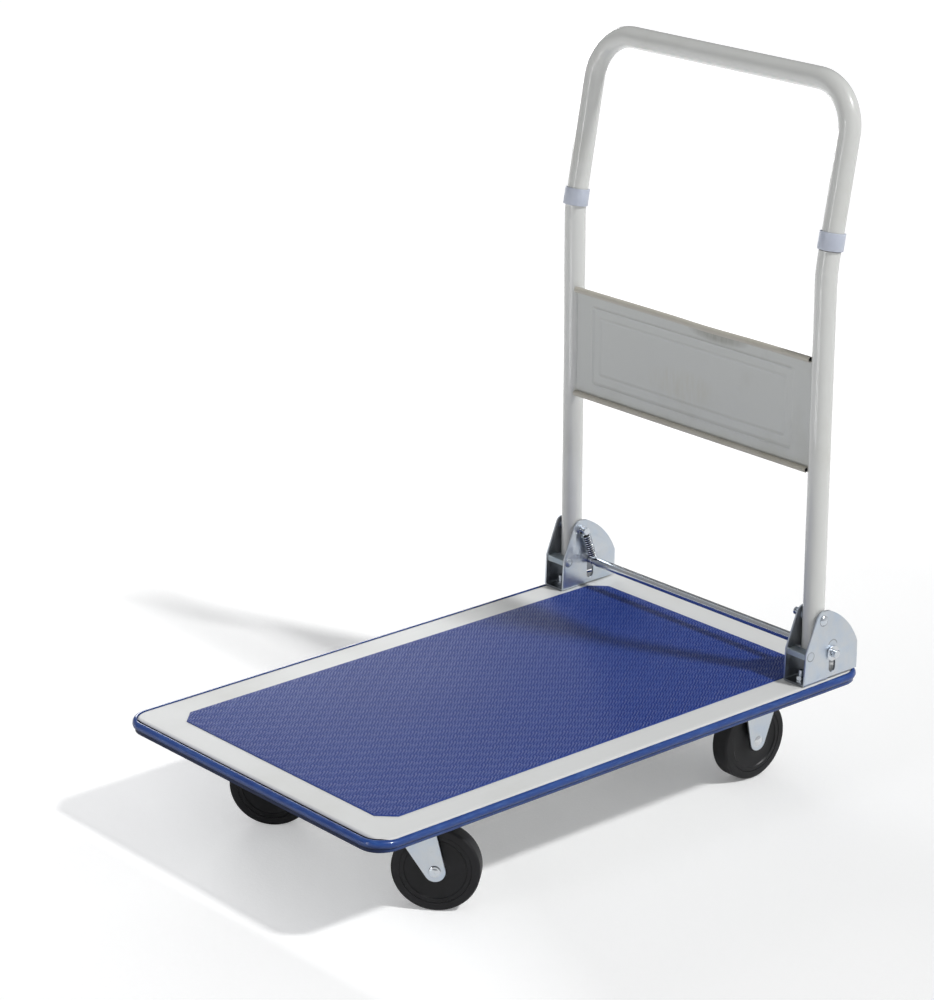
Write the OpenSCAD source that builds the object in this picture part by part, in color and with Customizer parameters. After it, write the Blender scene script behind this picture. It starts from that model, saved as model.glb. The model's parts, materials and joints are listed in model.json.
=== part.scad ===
// Folding platform cart.
// Millimetres. +Z up, floor at z = 0, origin on the floor under the middle of
// the deck, handle at +Y, front at -Y, width along X.

/* [Deck] */
// Length of the deck over its bumper
deck_length = 730; // [640:10:900]
// Width of the deck over its bumper
deck_width = 446; // [430:2:560]
// Corner radius of the pressed pan
pan_corner = 25; // [16:1:45]
// Depth of the pan's turned-down edge
pan_depth = 13; // [11:0.5:24]
// Sheet thickness of the pan
pan_sheet = 1.5; // [1:0.1:2.5]
// Outside radius where the pan's top rolls into its edge
pan_shoulder = 4; // [3:0.5:8]

/* [Bumper] */
// How far the bumper stands out from the pan
bumper_proud = 5; // [4:0.5:12]
// Height of the bumper's rounded face
bumper_height = 9.6; // [7:0.2:10]
// Depth of the bumper's top edge below the pan's top
bumper_drop = 3; // [2:0.5:5]
// Thickness of the lip that wraps under the pan's edge
bumper_lip = 1.6; // [1:0.1:3]
// Height of the leg that grips the pan's edge from inside
bumper_leg = 6; // [3:0.5:9]

/* [Mat] */
// Length of the anti-slip mat
mat_length = 640; // [560:5:650]
// Gap between the mat and each hinge bracket
mat_gap = 3.5; // [1:0.5:30]
// Thickness of the mat
mat_thick = 1.5; // [1:0.1:3]
// Cut-off at each corner of the mat
mat_chamfer = 18; // [5:1:40]

/* [Underside ribs] */
// Distance of each stiffening rib from the middle of the deck
rib_offset = 62; // [40:2:75]
// Length of each stiffening rib
rib_length = 650; // [500:10:690]
// Width across the crown of a rib
rib_crown = 26; // [18:1:40]
// Width of each welded foot of a rib
rib_foot = 9; // [6:1:14]
// Depth of a rib below the pan
rib_depth = 10; // [6:0.5:14]
// Sheet thickness of a rib
rib_sheet = 1.2; // [0.8:0.1:2]

/* [Hinge brackets] */
// Distance between the centres of the two brackets and uprights
bracket_spacing = 404; // [380:2:406]
// Length of a bracket along the deck
bracket_length = 86.5; // [80:0.5:95]
// Setback of the brackets from the rear of the bumper
bracket_setback = 13.5; // [10:0.5:40]
// Height of a bracket's straight front edge
bracket_front = 39.5; // [34:0.5:46]
// Height of a bracket's straight rear edge
bracket_rear = 35.5; // [25:0.5:45]
// Radius of the curved back of a bracket
bracket_curve = 91; // [70:1:200]
// Sheet thickness of a bracket
bracket_sheet = 2.5; // [2:0.1:3]
// Gap between an upright and each side of its bracket
bracket_side_gap = 1.5; // [1:0.1:3]
// Outside radius of the bracket's folded bottom corners
bracket_fold = 4; // [3:0.5:6]
// Length of the bracket's folded base
bracket_base = 39; // [38:1:46]
// Distance of the pivot from the bracket's front
pivot_forward = 29; // [26:0.5:34]
// Height of the pivot above the pan
pivot_height = 74.5; // [71:0.5:90]
// Radius of the bracket around its pivot
pivot_eye = 11.5; // [9:0.5:15]
// Diameter of the pivot pins
pivot_d = 8; // [6:0.5:10]
// Diameter of the domed head of a pivot pin
pivot_head_d = 12.5; // [11:0.5:16]
// Radial clearance of every pin and axle in its bush
running_gap = 0.05; // [0.02:0.01:0.1]

/* [Lock rod] */
// Distance of the lock rod behind the pivot
rod_behind = 16; // [15:0.5:20]
// Height of the lock rod above the pan
rod_height = 31.5; // [28:0.5:34]
// Diameter of the lock rod's core
rod_d = 9; // [7:0.5:10]
// Travel of the lock rod when it is pressed down
rod_travel = 18; // [10:0.5:18]
// Room around the lock rod in its slots
rod_slot_gap = 0.75; // [0.4:0.05:1.5]
// Diameter of the sleeve that covers the rod between the springs
sleeve_d = 11; // [10:0.5:14]
// Gap between the sleeve and each bracket
sleeve_gap = 13.5; // [12:0.5:20]
// Diameter of the washers at the rod's ends
rod_washer_d = 18; // [14:0.5:22]
// Diameter of the split pins through the rod's ends
cotter_d = 2.2; // [1.5:0.1:3]
// Length of a split pin on each side of the rod
cotter_length = 7; // [5:0.5:10]
// Clearance between the lock rod and the swinging foot of an upright
foot_gap = 0.9; // [0.6:0.1:3]

/* [Springs] */
// Outside diameter of a return spring
spring_d = 11; // [8:0.5:12]
// Wire diameter of a return spring
spring_wire = 1.3; // [0.8:0.1:1.8]

/* [Handle] */
// Outside diameter of the handle tubes
tube_d = 25; // [22:0.5:27]
// Wall of the handle tubes
tube_wall = 1.5; // [1:0.1:2.5]
// Height of the backward bend above the pivot
bend_above_pivot = 404; // [340:2:440]
// Backward lean of the upper handle in degrees
handle_lean = 10.6; // [4:0.1:18]
// Length from the bend to the middle of the top bar
bow_length = 205.5; // [150:0.5:260]
// Centre-line radius of the bow's top corners
bow_radius = 55; // [40:1:90]
// Length from the bend to the end of an upright's arc
arc_above_bend = 17; // [14:0.5:24]
// Length of straight tube between the right upright's arc and its joint
joint_right_rise = 7; // [0:0.5:12]
// Length of the bow's reduced end inside an upright
spigot_length = 11; // [5:0.5:12]
// Length of a joint collar
collar_length = 20; // [15:0.5:30]
// Wall of a joint collar
collar_wall = 2.2; // [1.5:0.1:4]
// Start of the left collar above the bend
collar_left_start = -0.5; // [-2:0.5:12]
// Start of the right collar above the bend
collar_right_start = 25; // [4:0.5:60]

/* [Back panel] */
// Height of the panel's lower edge above the pivot
panel_above_pivot = 171.5; // [120:0.5:230]
// Height of the panel
panel_height = 135.5; // [80:0.5:160]
// Sheet thickness of the panel
panel_sheet = 1.2; // [0.8:0.1:2]
// Distance of the panel in front of the tube axis
panel_forward = 5; // [2:0.5:8]
// Outside diameter of the panel's rolled edges
panel_roll = 7; // [5:0.5:9]
// Distance of the pressed frame from the panel's ends
frame_end = 26; // [20:1:50]
// Distance of the pressed frame from the panel's edges
frame_edge = 21; // [14:1:35]
// Width of the pressed frame
frame_width = 12; // [6:1:20]
// Height of the pressed frame
frame_rise = 0.8; // [0.4:0.1:1]

/* [Casters] */
// Height of a caster from the floor to the top of its plate
caster_height = 128; // [126:1:150]
// Distance between the swivel axes of the front casters
front_track = 282; // [250:2:300]
// Distance between the middles of the rear wheels
rear_track = 286; // [250:2:300]
// Distance of the swivel axes from the front of the bumper
front_overhang = 105; // [80:1:150]
// Distance of the fixed wheels from the rear of the bumper
rear_overhang = 110; // [90:1:150]
// Setback of a rear caster's plate behind its axle
plate_setback = 8; // [0:1:12]
// Offset of a front wheel from its swivel axis
caster_trail = 34; // [26:0.5:40]
// Angle of the front casters as the cart stands
caster_angle = -48; // [-180:1:180]
// Size of a caster plate along the deck
plate_length = 90; // [84:1:110]
// Size of a caster plate across the deck
plate_width = 66; // [60:1:80]
// Thickness of a caster plate
plate_thick = 3; // [2.5:0.1:4]
// Spacing of a caster plate's holes along the deck
hole_spacing_y = 72; // [66:1:76]
// Spacing of a caster plate's holes across the deck
hole_spacing_x = 48; // [46:1:50]
// Diameter of the caster bolts
caster_bolt_d = 8; // [6:1:8]
// Sheet thickness of a fork
fork_sheet = 2.5; // [2:0.1:4]
// Gap between a wheel's hub and each leg of its fork
fork_gap = 1; // [0.5:0.1:3]
// Reach of a front fork's legs ahead of the swivel axis
fork_front = 24; // [20:1:30]
// Reach of a front fork's legs behind the swivel axis
fork_rear = 30; // [24:1:36]
// Room between a rear fork's legs and each end of its plate
rear_leg_room = 9; // [6:1:16]
// Radius of a fork leg's rounded end
fork_eye = 11.5; // [10:0.5:14]
// Diameter of a wheel
wheel_d = 96; // [80:1:100]
// Width of a wheel's tread
tread_width = 23; // [18:0.5:30]
// Width of a wheel's hub
hub_width = 26; // [20:0.5:32]
// Diameter of the joint between tyre and hub
rim_d = 74; // [60:1:80]
// Diameter of the wheel axles
axle_d = 10; // [8:0.5:12]
// Diameter of an axle's riveted head
axle_head_d = 13; // [12.5:0.5:16]

/* [Hidden] */

$fn = 64;
EPS = 0.01;
BEIGE = [0.86, 0.86, 0.84];
HANDLE = [0.80, 0.80, 0.78];
PANEL = [0.62, 0.63, 0.63];
BLUE = [0.15, 0.28, 0.62];
MAT = [0.16, 0.20, 0.55];
ZINC = [0.74, 0.77, 0.80];
COLLAR = [0.72, 0.74, 0.82];
BLACK = [0.12, 0.12, 0.13];

// Levels
pan_top = caster_height + pan_sheet;
pan_half_w = deck_width / 2 - bumper_proud;
pan_half_l = deck_length / 2 - bumper_proud;
caster_front = deck_length / 2 - front_overhang;
caster_rear = deck_length / 2 - rear_overhang;

// Hinge
bracket_x = bracket_spacing / 2;
bracket_y = deck_length / 2 - bracket_setback - bracket_length;
bracket_gap = tube_d + 2 * bracket_side_gap;
bracket_width = bracket_gap + 2 * bracket_sheet;
pivot_y = bracket_y + pivot_forward;
pivot_z = pan_top + pivot_height;
rod_y = pivot_y + rod_behind;
rod_z = pan_top + rod_height;
rod_end = bracket_x + bracket_width / 2 + 7.5;
foot_reach = norm([rod_behind, pivot_height - rod_height]) - rod_d / 2 - foot_gap;
foot_length = sqrt(foot_reach * foot_reach - tube_d * tube_d / 4);
bush_d = pivot_d + 5;
washer_t = 1.5;
washer_gap = 0.3;
cotter_x = bracket_x + bracket_width / 2 + washer_gap + washer_t + cotter_d / 2;

// Stop strap between the plates of a bracket
strap_front = 2.5;
strap_tall = 6.5;
strap_rear = pivot_forward - tube_d / 2 - 0.5;
strap_top = bracket_front - 0.5;
strap_rivet_d = 6;

// Bracket bolts
bolt_d = 6;
bolt_front = 12;
bolt_pitch = 16.5;
nut_t = 5.2;
nut_d = 11.5;
bolt_top = 14.5;

// Pivot pin's spring end
pin_neck = spring_d / 2 + 3.5;
pin_neck_d = pivot_d - 2;
pin_tip = 2;
spring_x = bracket_x - bracket_width / 2 - spring_d / 2 - 1.5;

// Handle
bend_z = pivot_z + bend_above_pivot;
turn_r = arc_above_bend / tan(handle_lean / 2);
panel_z = pivot_z + panel_above_pivot;
panel_half = bracket_x - sqrt(pow(tube_d / 2, 2) - pow(panel_forward - panel_sheet / 2, 2));

// Casters
rear_plate_y = caster_rear + plate_setback;
plate_under = caster_height - plate_thick;
boss_t = 4;
boss_d = 50;
ball_d = 4.4;
ball_gap = 0.3;
ball_count = 14;
crown_t = 3;
crown_top = plate_under - boss_t - ball_gap - ball_d;
crown_d = 60;
kingpin_d = 10;
fork_inside = hub_width + 2 * fork_gap;
fork_outside = fork_inside + 2 * fork_sheet;
wheel_r = wheel_d / 2;
axle_bush_d = axle_d + 4;
bolt_head_t = 5;
caster_hole_gap = 0.25;

// ---- Shared shapes --------------------------------------------------------

// Sweeps a profile round the pan's outline; x is measured outwards from it.
module round_the_pan() {
  straight_w = pan_half_w - pan_corner;
  straight_l = pan_half_l - pan_corner;
  for (turn = [0, 180]) {
    rotate([0, 0, turn]) translate([pan_half_w, 0, 0]) rotate([90, 0, 0])
      linear_extrude(2 * straight_l, center = true) children();
    rotate([0, 0, turn + 90]) translate([pan_half_l, 0, 0]) rotate([90, 0, 0])
      linear_extrude(2 * straight_w, center = true) children();
  }
  for (corner = [[1, 1, 0], [-1, 1, 90], [-1, -1, 180], [1, -1, 270]])
    translate([corner[0] * straight_w, corner[1] * straight_l, 0])
      rotate([0, 0, corner[2]]) rotate_extrude(angle = 90)
        translate([pan_corner, 0]) children();
}

// A rectangle with rounded corners, centred on the origin.
module rounded_plate_2d(width, length, radius) {
  square([width - 2 * radius, length], center = true);
  square([width, length - 2 * radius], center = true);
  for (x = [-1, 1], y = [-1, 1])
    translate([x * (width / 2 - radius), y * (length / 2 - radius)]) circle(radius);
}

// Puts children at both brackets, mirrored about the middle of the cart.
module at_bracket(side) {
  translate([side * bracket_x, bracket_y, pan_top]) children();
}

// A cylinder along X between two x positions.
module bar_x(from_x, to_x, d) {
  translate([min(from_x, to_x), 0, 0]) rotate([0, 90, 0])
    cylinder(d = d, h = abs(to_x - from_x));
}

// A cylinder with a domed end, standing on the XY plane.
module domed_head(d, rise) {
  sphere_r = (d * d / 4 + rise * rise) / (2 * rise);
  intersection() {
    cylinder(d = d, h = rise);
    translate([0, 0, rise - sphere_r]) sphere(sphere_r);
  }
}

module hex_nut(across, thick, bore) {
  difference() {
    cylinder(d = across, h = thick, $fn = 6);
    translate([0, 0, -1]) cylinder(d = bore, h = thick + 2);
  }
}

// ---- Deck -----------------------------------------------------------------

module pan_edge_2d() {
  difference() {
    union() {
      intersection() {
        translate([-pan_shoulder, -pan_shoulder]) circle(pan_shoulder);
        translate([-pan_shoulder, -pan_shoulder]) square(pan_shoulder);
      }
      translate([-pan_sheet, -pan_depth]) square([pan_sheet, pan_depth - pan_shoulder]);
    }
    intersection() {
      translate([-pan_shoulder, -pan_shoulder]) circle(pan_shoulder - pan_sheet);
      translate([-pan_shoulder, -pan_shoulder]) square(pan_shoulder);
    }
  }
}

// Puts children at every caster bolt, front and rear.
module caster_bolt_places() {
  for (at = [[front_track / 2, -caster_front], [rear_track / 2, rear_plate_y]])
    for (side = [-1, 1], hx = [-1, 1], hy = [-1, 1])
      translate([side * at[0] + hx * hole_spacing_x / 2, at[1] + hy * hole_spacing_y / 2, 0])
        children();
}

module bracket_bolt_places() {
  for (side = [-1, 1], i = [0, 1])
    translate([side * bracket_x, bracket_y + bolt_front + i * bolt_pitch, 0]) children();
}

module deck_pan() {
  color(BEIGE) translate([0, 0, pan_top]) difference() {
    union() {
      round_the_pan() pan_edge_2d();
      translate([0, 0, -pan_sheet]) linear_extrude(pan_sheet)
        rounded_plate_2d(2 * (pan_half_w - pan_shoulder), 2 * (pan_half_l - pan_shoulder),
                         pan_corner - pan_shoulder);
    }
    caster_bolt_places() cylinder(d = caster_bolt_d + 2 * caster_hole_gap,
                                  h = 6 * pan_sheet, center = true);
    bracket_bolt_places() cylinder(d = bolt_d + 2 * caster_hole_gap, h = 6 * pan_sheet, center = true);
  }
}

module bumper_2d() {
  r = bumper_height / 2;
  bottom = -pan_depth - bumper_lip;
  intersection() {
    translate([bumper_proud - r, -bumper_drop - r]) circle(r);
    translate([0, -bumper_drop - bumper_height]) square([bumper_proud, bumper_height]);
  }
  if (bumper_proud > r)
    translate([0, -bumper_drop - bumper_height]) square([bumper_proud - r, bumper_height]);
  translate([0, bottom]) square([bumper_proud / 2, -bottom - bumper_drop - r]);
  translate([-pan_sheet - bumper_lip, bottom])
    square([pan_sheet + bumper_lip + EPS, bumper_lip]);
  translate([-pan_sheet - bumper_lip, bottom]) square([bumper_lip, bumper_lip + bumper_leg]);
}

module bumper_strip() {
  color(BLUE) translate([0, 0, pan_top]) round_the_pan() bumper_2d();
}

module anti_slip_mat() {
  w = bracket_x - bracket_width / 2 - mat_gap;
  l = mat_length / 2;
  c = mat_chamfer;
  color(MAT) translate([0, 0, pan_top]) linear_extrude(mat_thick)
    polygon([[w - c, -l], [w, c - l], [w, l - c], [w - c, l],
             [c - w, l], [-w, l - c], [-w, c - l], [c - w, -l]]);
}

// A hat-section channel welded under the pan.
module rib(side) {
  crown = rib_crown / 2;
  foot = crown + rib_foot;
  t = rib_sheet;
  color(BEIGE) translate([side * rib_offset, 0, caster_height]) rotate([90, 0, 0])
    linear_extrude(rib_length, center = true)
      polygon([[-foot, 0], [t - crown, 0], [t - crown, t - rib_depth],
               [crown - t, t - rib_depth], [crown - t, 0], [foot, 0], [foot, -t],
               [crown, -t], [crown, -rib_depth], [-crown, -rib_depth], [-crown, -t],
               [-foot, -t]]);
}

// ---- Hinge brackets -------------------------------------------------------

// Extrudes a side outline: x runs rearwards from the bracket's front, y upwards.
module across_bracket() {
  rotate([90, 0, 90]) linear_extrude(bracket_width + 2, center = true) children();
}

module bracket_outline() {
  curve_start = [pivot_forward + 0.8 * pivot_eye, pivot_height + pivot_eye - 1];
  curve_end = [bracket_length, bracket_rear];
  chord = curve_end - curve_start;
  half = norm(chord) / 2;
  across = [chord[1], -chord[0]] / norm(chord);
  centre = (curve_start + curve_end) / 2 + across * sqrt(pow(bracket_curve, 2) - half * half);
  kink = [2, bracket_front];
  eye = [pivot_forward, pivot_height];
  reach = norm(eye - kink);
  slope = atan2(eye[1] - kink[1], eye[0] - kink[0]) + asin(pivot_eye / reach);
  touch = eye + pivot_eye * [-sin(slope), cos(slope)];
  across_bracket() polygon([[0, 0], kink, touch, eye, [curve_start[0], eye[1]],
                            [curve_start[0], 0]]);
  across_bracket() polygon([eye, eye + [0, pivot_eye], curve_start, [curve_start[0], eye[1]]]);
  intersection() {
    across_bracket() translate(eye) circle(pivot_eye);
    across_bracket() translate([0, eye[1] - 1]) square([curve_start[0], 2 * pivot_eye]);
  }
  intersection() {
    across_bracket() translate(centre) circle(bracket_curve, $fn = 180);
    across_bracket() translate([curve_start[0] - EPS, 0])
      square([curve_end[0] - curve_start[0] + EPS, curve_start[1]]);
  }
}

// A block with two rounded lower edges along Y, standing on the XY plane.
module folded_block(width, radius, tall) {
  translate([-width / 2, 0, radius]) cube([width, bracket_length, tall - radius]);
  translate([radius - width / 2, 0, 0])
    cube([width - 2 * radius, bracket_length, tall - radius]);
  for (s = [-1, 1]) translate([s * (width / 2 - radius), 0, radius]) rotate([-90, 0, 0])
    cylinder(r = radius, h = bracket_length);
}

module bracket(side) {
  slot_w = rod_d + 2 * rod_slot_gap;
  color(ZINC) at_bracket(side) difference() {
    intersection() {
      folded_block(bracket_width, bracket_fold, pivot_height + pivot_eye + 1);
      bracket_outline();
    }
    translate([0, -1, bracket_sheet]) scale([1, 1.1, 1])
      folded_block(bracket_gap, bracket_fold - bracket_sheet, pivot_height + pivot_eye);
    translate([-bracket_gap / 2 - bracket_fold, bracket_base, -1])
      cube([bracket_gap + 2 * bracket_fold, bracket_length, bracket_sheet + 1.5]);
    translate([0, pivot_forward, pivot_height]) bar_x(-bracket_width, bracket_width, pivot_d);
    translate([0, pivot_forward + rod_behind, rod_height]) {
      bar_x(-bracket_width, bracket_width, slot_w);
      translate([0, 0, -rod_travel]) bar_x(-bracket_width, bracket_width, slot_w);
      translate([-bracket_width, -slot_w / 2, -rod_travel])
        cube([2 * bracket_width, slot_w, rod_travel]);
    }
    translate([0, (strap_front + strap_rear) / 2, strap_top - strap_tall / 2])
      bar_x(-bracket_width, bracket_width, strap_rivet_d);
    for (i = [0, 1]) translate([0, bolt_front + i * bolt_pitch, 0])
      cylinder(d = bolt_d + 2 * caster_hole_gap, h = 3 * bracket_sheet, center = true);
  }
}

module stop_strap(side) {
  color(ZINC) at_bracket(side) difference() {
    translate([-bracket_gap / 2, strap_front, strap_top - strap_tall])
      cube([bracket_gap, strap_rear - strap_front, strap_tall]);
    translate([0, (strap_front + strap_rear) / 2, strap_top - strap_tall / 2])
      bar_x(-bracket_width, bracket_width, strap_rivet_d / 2);
  }
}

module strap_rivets() {
  color(ZINC) for (side = [-1, 1], end = [-1, 1]) at_bracket(side)
    translate([0, (strap_front + strap_rear) / 2, strap_top - strap_tall / 2]) {
      bar_x(end * bracket_gap / 2, end * bracket_width / 2, strap_rivet_d);
      bar_x(end * (bracket_gap / 2 - strap_rivet_d), end * bracket_gap / 2, strap_rivet_d / 2);
      translate([end * bracket_width / 2, 0, 0]) rotate([0, end * 90, 0])
        domed_head(1.8 * strap_rivet_d, 1);
    }
}

module bracket_bolts() {
  shank = pan_sheet + bolt_top;
  color(ZINC) bracket_bolt_places() translate([0, 0, pan_top - pan_sheet]) {
    cylinder(d = bolt_d, h = shank);
    mirror([0, 0, 1]) domed_head(2.2 * bolt_d, 3.5);
  }
}

module bracket_nuts() {
  color(ZINC) bracket_bolt_places() translate([0, 0, pan_top + bracket_sheet])
    hex_nut(nut_d, nut_t, bolt_d);
}

// A pin riveted into both plates, with a grooved end for the spring hook.
module pivot_pin(side) {
  out = side * bracket_width / 2;
  groove = side * (-bracket_width / 2 - pin_neck);
  color(ZINC) translate([side * bracket_x, pivot_y, pivot_z]) {
    bar_x(out, -out, pivot_d);
    bar_x(-out, groove, pin_neck_d);
    bar_x(groove, groove - side * pin_tip, pivot_d + 1);
    bar_x(-out, -out - side * 2, pivot_d + 3);
    translate([out, 0, 0]) rotate([0, side * 90, 0]) domed_head(pivot_head_d, 3.2);
  }
}

// A steel bush pressed through the upright, which turns on the pivot pin.
module pivot_bush(side) {
  length = bracket_gap - 0.6;
  color(ZINC) translate([side * bracket_x, pivot_y, pivot_z]) difference() {
    bar_x(-length / 2, length / 2, bush_d);
    bar_x(-length, length, pivot_d + 2 * running_gap);
  }
}

// ---- Handle ---------------------------------------------------------------

module tube(length) {
  difference() {
    cylinder(d = tube_d, h = length);
    translate([0, 0, -1]) cylinder(d = tube_d - 2 * tube_wall, h = length + 2);
  }
}

// Where the joint between upright and bow is, up from the bend.
function joint_at(side) = arc_above_bend + (side > 0 ? joint_right_rise : 0);

// A straight tube that ends in a gentle arc, tangent to the leaning bow.
module upright(side) {
  arc_start = bend_above_pivot - arc_above_bend;
  stub = joint_at(side) - arc_above_bend;
  color(HANDLE) translate([side * bracket_x, pivot_y, pivot_z]) difference() {
    union() {
      translate([0, 0, arc_start]) mirror([0, 0, 1]) tube(foot_length + arc_start);
      translate([0, turn_r, arc_start]) rotate([90, 0, -90])
        rotate_extrude(angle = handle_lean, $fn = 360) translate([turn_r, 0])
          difference() {
            circle(d = tube_d, $fn = 64);
            circle(d = tube_d - 2 * tube_wall, $fn = 64);
          }
      if (stub > 0)
        translate([0, 0, bend_above_pivot]) rotate([-handle_lean, 0, 0])
          translate([0, 0, arc_above_bend]) tube(stub);
    }
    bar_x(-tube_d, tube_d, bush_d);
  }
}

// How far an upright's arc has left the bow's straight line, down from the arc's end.
function off_arc(down) = pow(max(down, 0), 2) / (2 * turn_r);

// Places children in the leaning plane of the bow, z measured from the bend.
module in_bow_plane() {
  translate([0, pivot_y, bend_z]) rotate([-handle_lean, 0, 0]) children();
}

module bow_path(d, below = 0) {
  leg_top = bow_length - bow_radius;
  for (side = [-1, 1]) {
    start = joint_at(side) - below;
    translate([side * bracket_x, 0, start]) cylinder(d = d, h = leg_top - start);
    translate([side * (bracket_x - bow_radius), 0, leg_top]) rotate([90, 0, 0])
      rotate([0, 0, side > 0 ? 0 : 90]) rotate_extrude(angle = 90)
        translate([bow_radius, 0]) circle(d = d);
  }
  translate([0, 0, bow_length])
    bar_x(bow_radius - bracket_x, bracket_x - bow_radius, d);
}

module handle_bow() {
  inside = tube_d - 2 * tube_wall;
  spigot_d = inside - 0.1 - 2 * off_arc(spigot_length);
  color(HANDLE) in_bow_plane() difference() {
    union() {
      bow_path(tube_d);
      for (side = [-1, 1])
        translate([side * bracket_x, 0, joint_at(side) - spigot_length])
          cylinder(d = spigot_d, h = spigot_length);
    }
    bow_path(spigot_d - 2 * tube_wall, spigot_length + 1);
  }
}

module collar(side, start) {
  bore_d = tube_d + 0.1 + 2 * off_arc(arc_above_bend - start);
  color(COLLAR) in_bow_plane() translate([side * bracket_x, 0, start]) difference() {
    cylinder(d = tube_d + 2 * collar_wall, h = collar_length);
    translate([0, 0, -1]) cylinder(d = bore_d, h = collar_length + 2);
  }
}

module panel_roll_at(z) {
  translate([0, (panel_sheet - panel_roll) / 2, z]) difference() {
    bar_x(-panel_half, panel_half, panel_roll);
    bar_x(-panel_half - 1, panel_half + 1, panel_roll - 2 * panel_sheet);
  }
}

module back_panel() {
  sheet_low = panel_roll / 2;
  sheet_tall = panel_height - panel_roll;
  frame_half = panel_half - frame_end;
  frame_tall = panel_height - 2 * frame_edge;
  color(PANEL) translate([0, pivot_y - panel_forward, panel_z]) {
    translate([-panel_half, -panel_sheet / 2, sheet_low])
      cube([2 * panel_half, panel_sheet, sheet_tall]);
    panel_roll_at(panel_roll / 2);
    panel_roll_at(panel_height - panel_roll / 2);
    difference() {
      translate([-frame_half, -panel_sheet / 2 - frame_rise, frame_edge])
        cube([2 * frame_half, frame_rise + panel_sheet / 2, frame_tall]);
      translate([frame_width - frame_half, -panel_sheet / 2 - 2 * frame_rise,
                 frame_edge + frame_width])
        cube([2 * (frame_half - frame_width), 2 * frame_rise, frame_tall - 2 * frame_width]);
    }
  }
}

// ---- Lock rod -------------------------------------------------------------

module on_rod() {
  translate([0, rod_y, rod_z]) children();
}

module lock_rod() {
  color(ZINC) on_rod() difference() {
    bar_x(-rod_end, rod_end, rod_d);
    for (side = [-1, 1]) translate([side * cotter_x, 0, 0]) rotate([90, 0, 0])
      cylinder(d = cotter_d, h = 2 * rod_d, center = true);
  }
}

module rod_sleeve() {
  half = bracket_x - bracket_width / 2 - sleeve_gap;
  color(ZINC) on_rod() difference() {
    bar_x(-half, half, sleeve_d);
    bar_x(-half - 1, half + 1, rod_d);
  }
}

module rod_washers() {
  start = bracket_x + bracket_width / 2 + washer_gap;
  color(ZINC) on_rod() for (side = [-1, 1]) difference() {
    bar_x(side * start, side * (start + washer_t), rod_washer_d);
    bar_x(side * (start - 1), side * (start + washer_t + 1), rod_d);
  }
}

module rod_cotters() {
  reach = rod_d / 2 + cotter_length;
  color(ZINC) on_rod() for (side = [-1, 1]) translate([side * cotter_x, 0, 0]) {
    rotate([90, 0, 0]) cylinder(d = cotter_d, h = 2 * reach, center = true);
    translate([0, reach + cotter_d / 2, 0]) rotate([0, 90, 0]) difference() {
      cylinder(d = 3 * cotter_d, h = 0.8 * cotter_d, center = true);
      cylinder(d = cotter_d, h = cotter_d, center = true);
    }
  }
}

// A tension spring from the pivot pin's groove down to the lock rod.
module spring(side) {
  drop = pivot_height - rod_height;
  tilt = atan2(rod_behind, drop);
  long = norm([rod_behind, drop]);
  slack = 0.8;
  top_loop = pin_neck_d / 2 + slack + spring_wire / 2;
  low_loop = rod_d / 2 + slack + spring_wire / 2;
  low_at = long - slack + 0.3;
  coil = low_at - low_loop - slack - top_loop;
  color(ZINC) translate([side * spring_x, pivot_y, pivot_z]) rotate([180 + tilt, 0, 0]) {
    translate([0, 0, slack]) rotate([0, 90, 0]) rotate_extrude()
      translate([top_loop, 0]) circle(d = spring_wire, $fn = 16);
    translate([0, 0, low_at]) rotate([0, 90, 0]) rotate_extrude()
      translate([low_loop, 0]) circle(d = spring_wire, $fn = 16);
    translate([0, 0, slack + top_loop]) difference() {
      cylinder(d = spring_d, h = coil);
      translate([0, 0, spring_wire])
        cylinder(d = spring_d - 2 * spring_wire, h = coil - 2 * spring_wire);
    }
  }
}

// ---- Casters --------------------------------------------------------------

module drilled_plate() {
  difference() {
    translate([0, 0, plate_under]) linear_extrude(plate_thick)
      rounded_plate_2d(plate_width, plate_length, 8);
    for (x = [-1, 1], y = [-1, 1])
      translate([x * hole_spacing_x / 2, y * hole_spacing_y / 2, plate_under - 1])
        cylinder(d = caster_bolt_d + 2 * caster_hole_gap, h = plate_thick + 2);
  }
}

module at_swivel(side) {
  translate([side * front_track / 2, -caster_front, 0]) children();
}

// Places children in the frame of a turned front caster.
module in_caster(side) {
  at_swivel(side) rotate([0, 0, caster_angle]) children();
}

module at_front_wheel(side) {
  in_caster(side) translate([0, caster_trail, wheel_r]) children();
}

module at_rear_wheel(side) {
  translate([side * rear_track / 2, caster_rear, wheel_r]) children();
}

module swivel_plate(side) {
  color(ZINC) at_swivel(side) difference() {
    union() {
      drilled_plate();
      translate([0, 0, plate_under - boss_t]) cylinder(d = boss_d, h = boss_t);
    }
    translate([0, 0, plate_under - boss_t - 1])
      cylinder(d = kingpin_d, h = boss_t + plate_thick + 2);
  }
}

// The swivel rivet: fixed in the plate, with a nut under the fork's crown.
module kingpin(side) {
  low = crown_top - crown_t - ball_gap;
  color(ZINC) at_swivel(side) {
    translate([0, 0, low]) cylinder(d = kingpin_d, h = caster_height - low);
    translate([0, 0, low - 7]) cylinder(d = 1.8 * kingpin_d, h = 7, $fn = 6);
  }
}

module ball_ring(side) {
  color(ZINC) in_caster(side) for (i = [0 : ball_count - 1])
    rotate([0, 0, i * 360 / ball_count])
      translate([boss_d / 2 - ball_d, 0, crown_top + ball_d / 2 - EPS]) sphere(d = ball_d);
}

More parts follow.
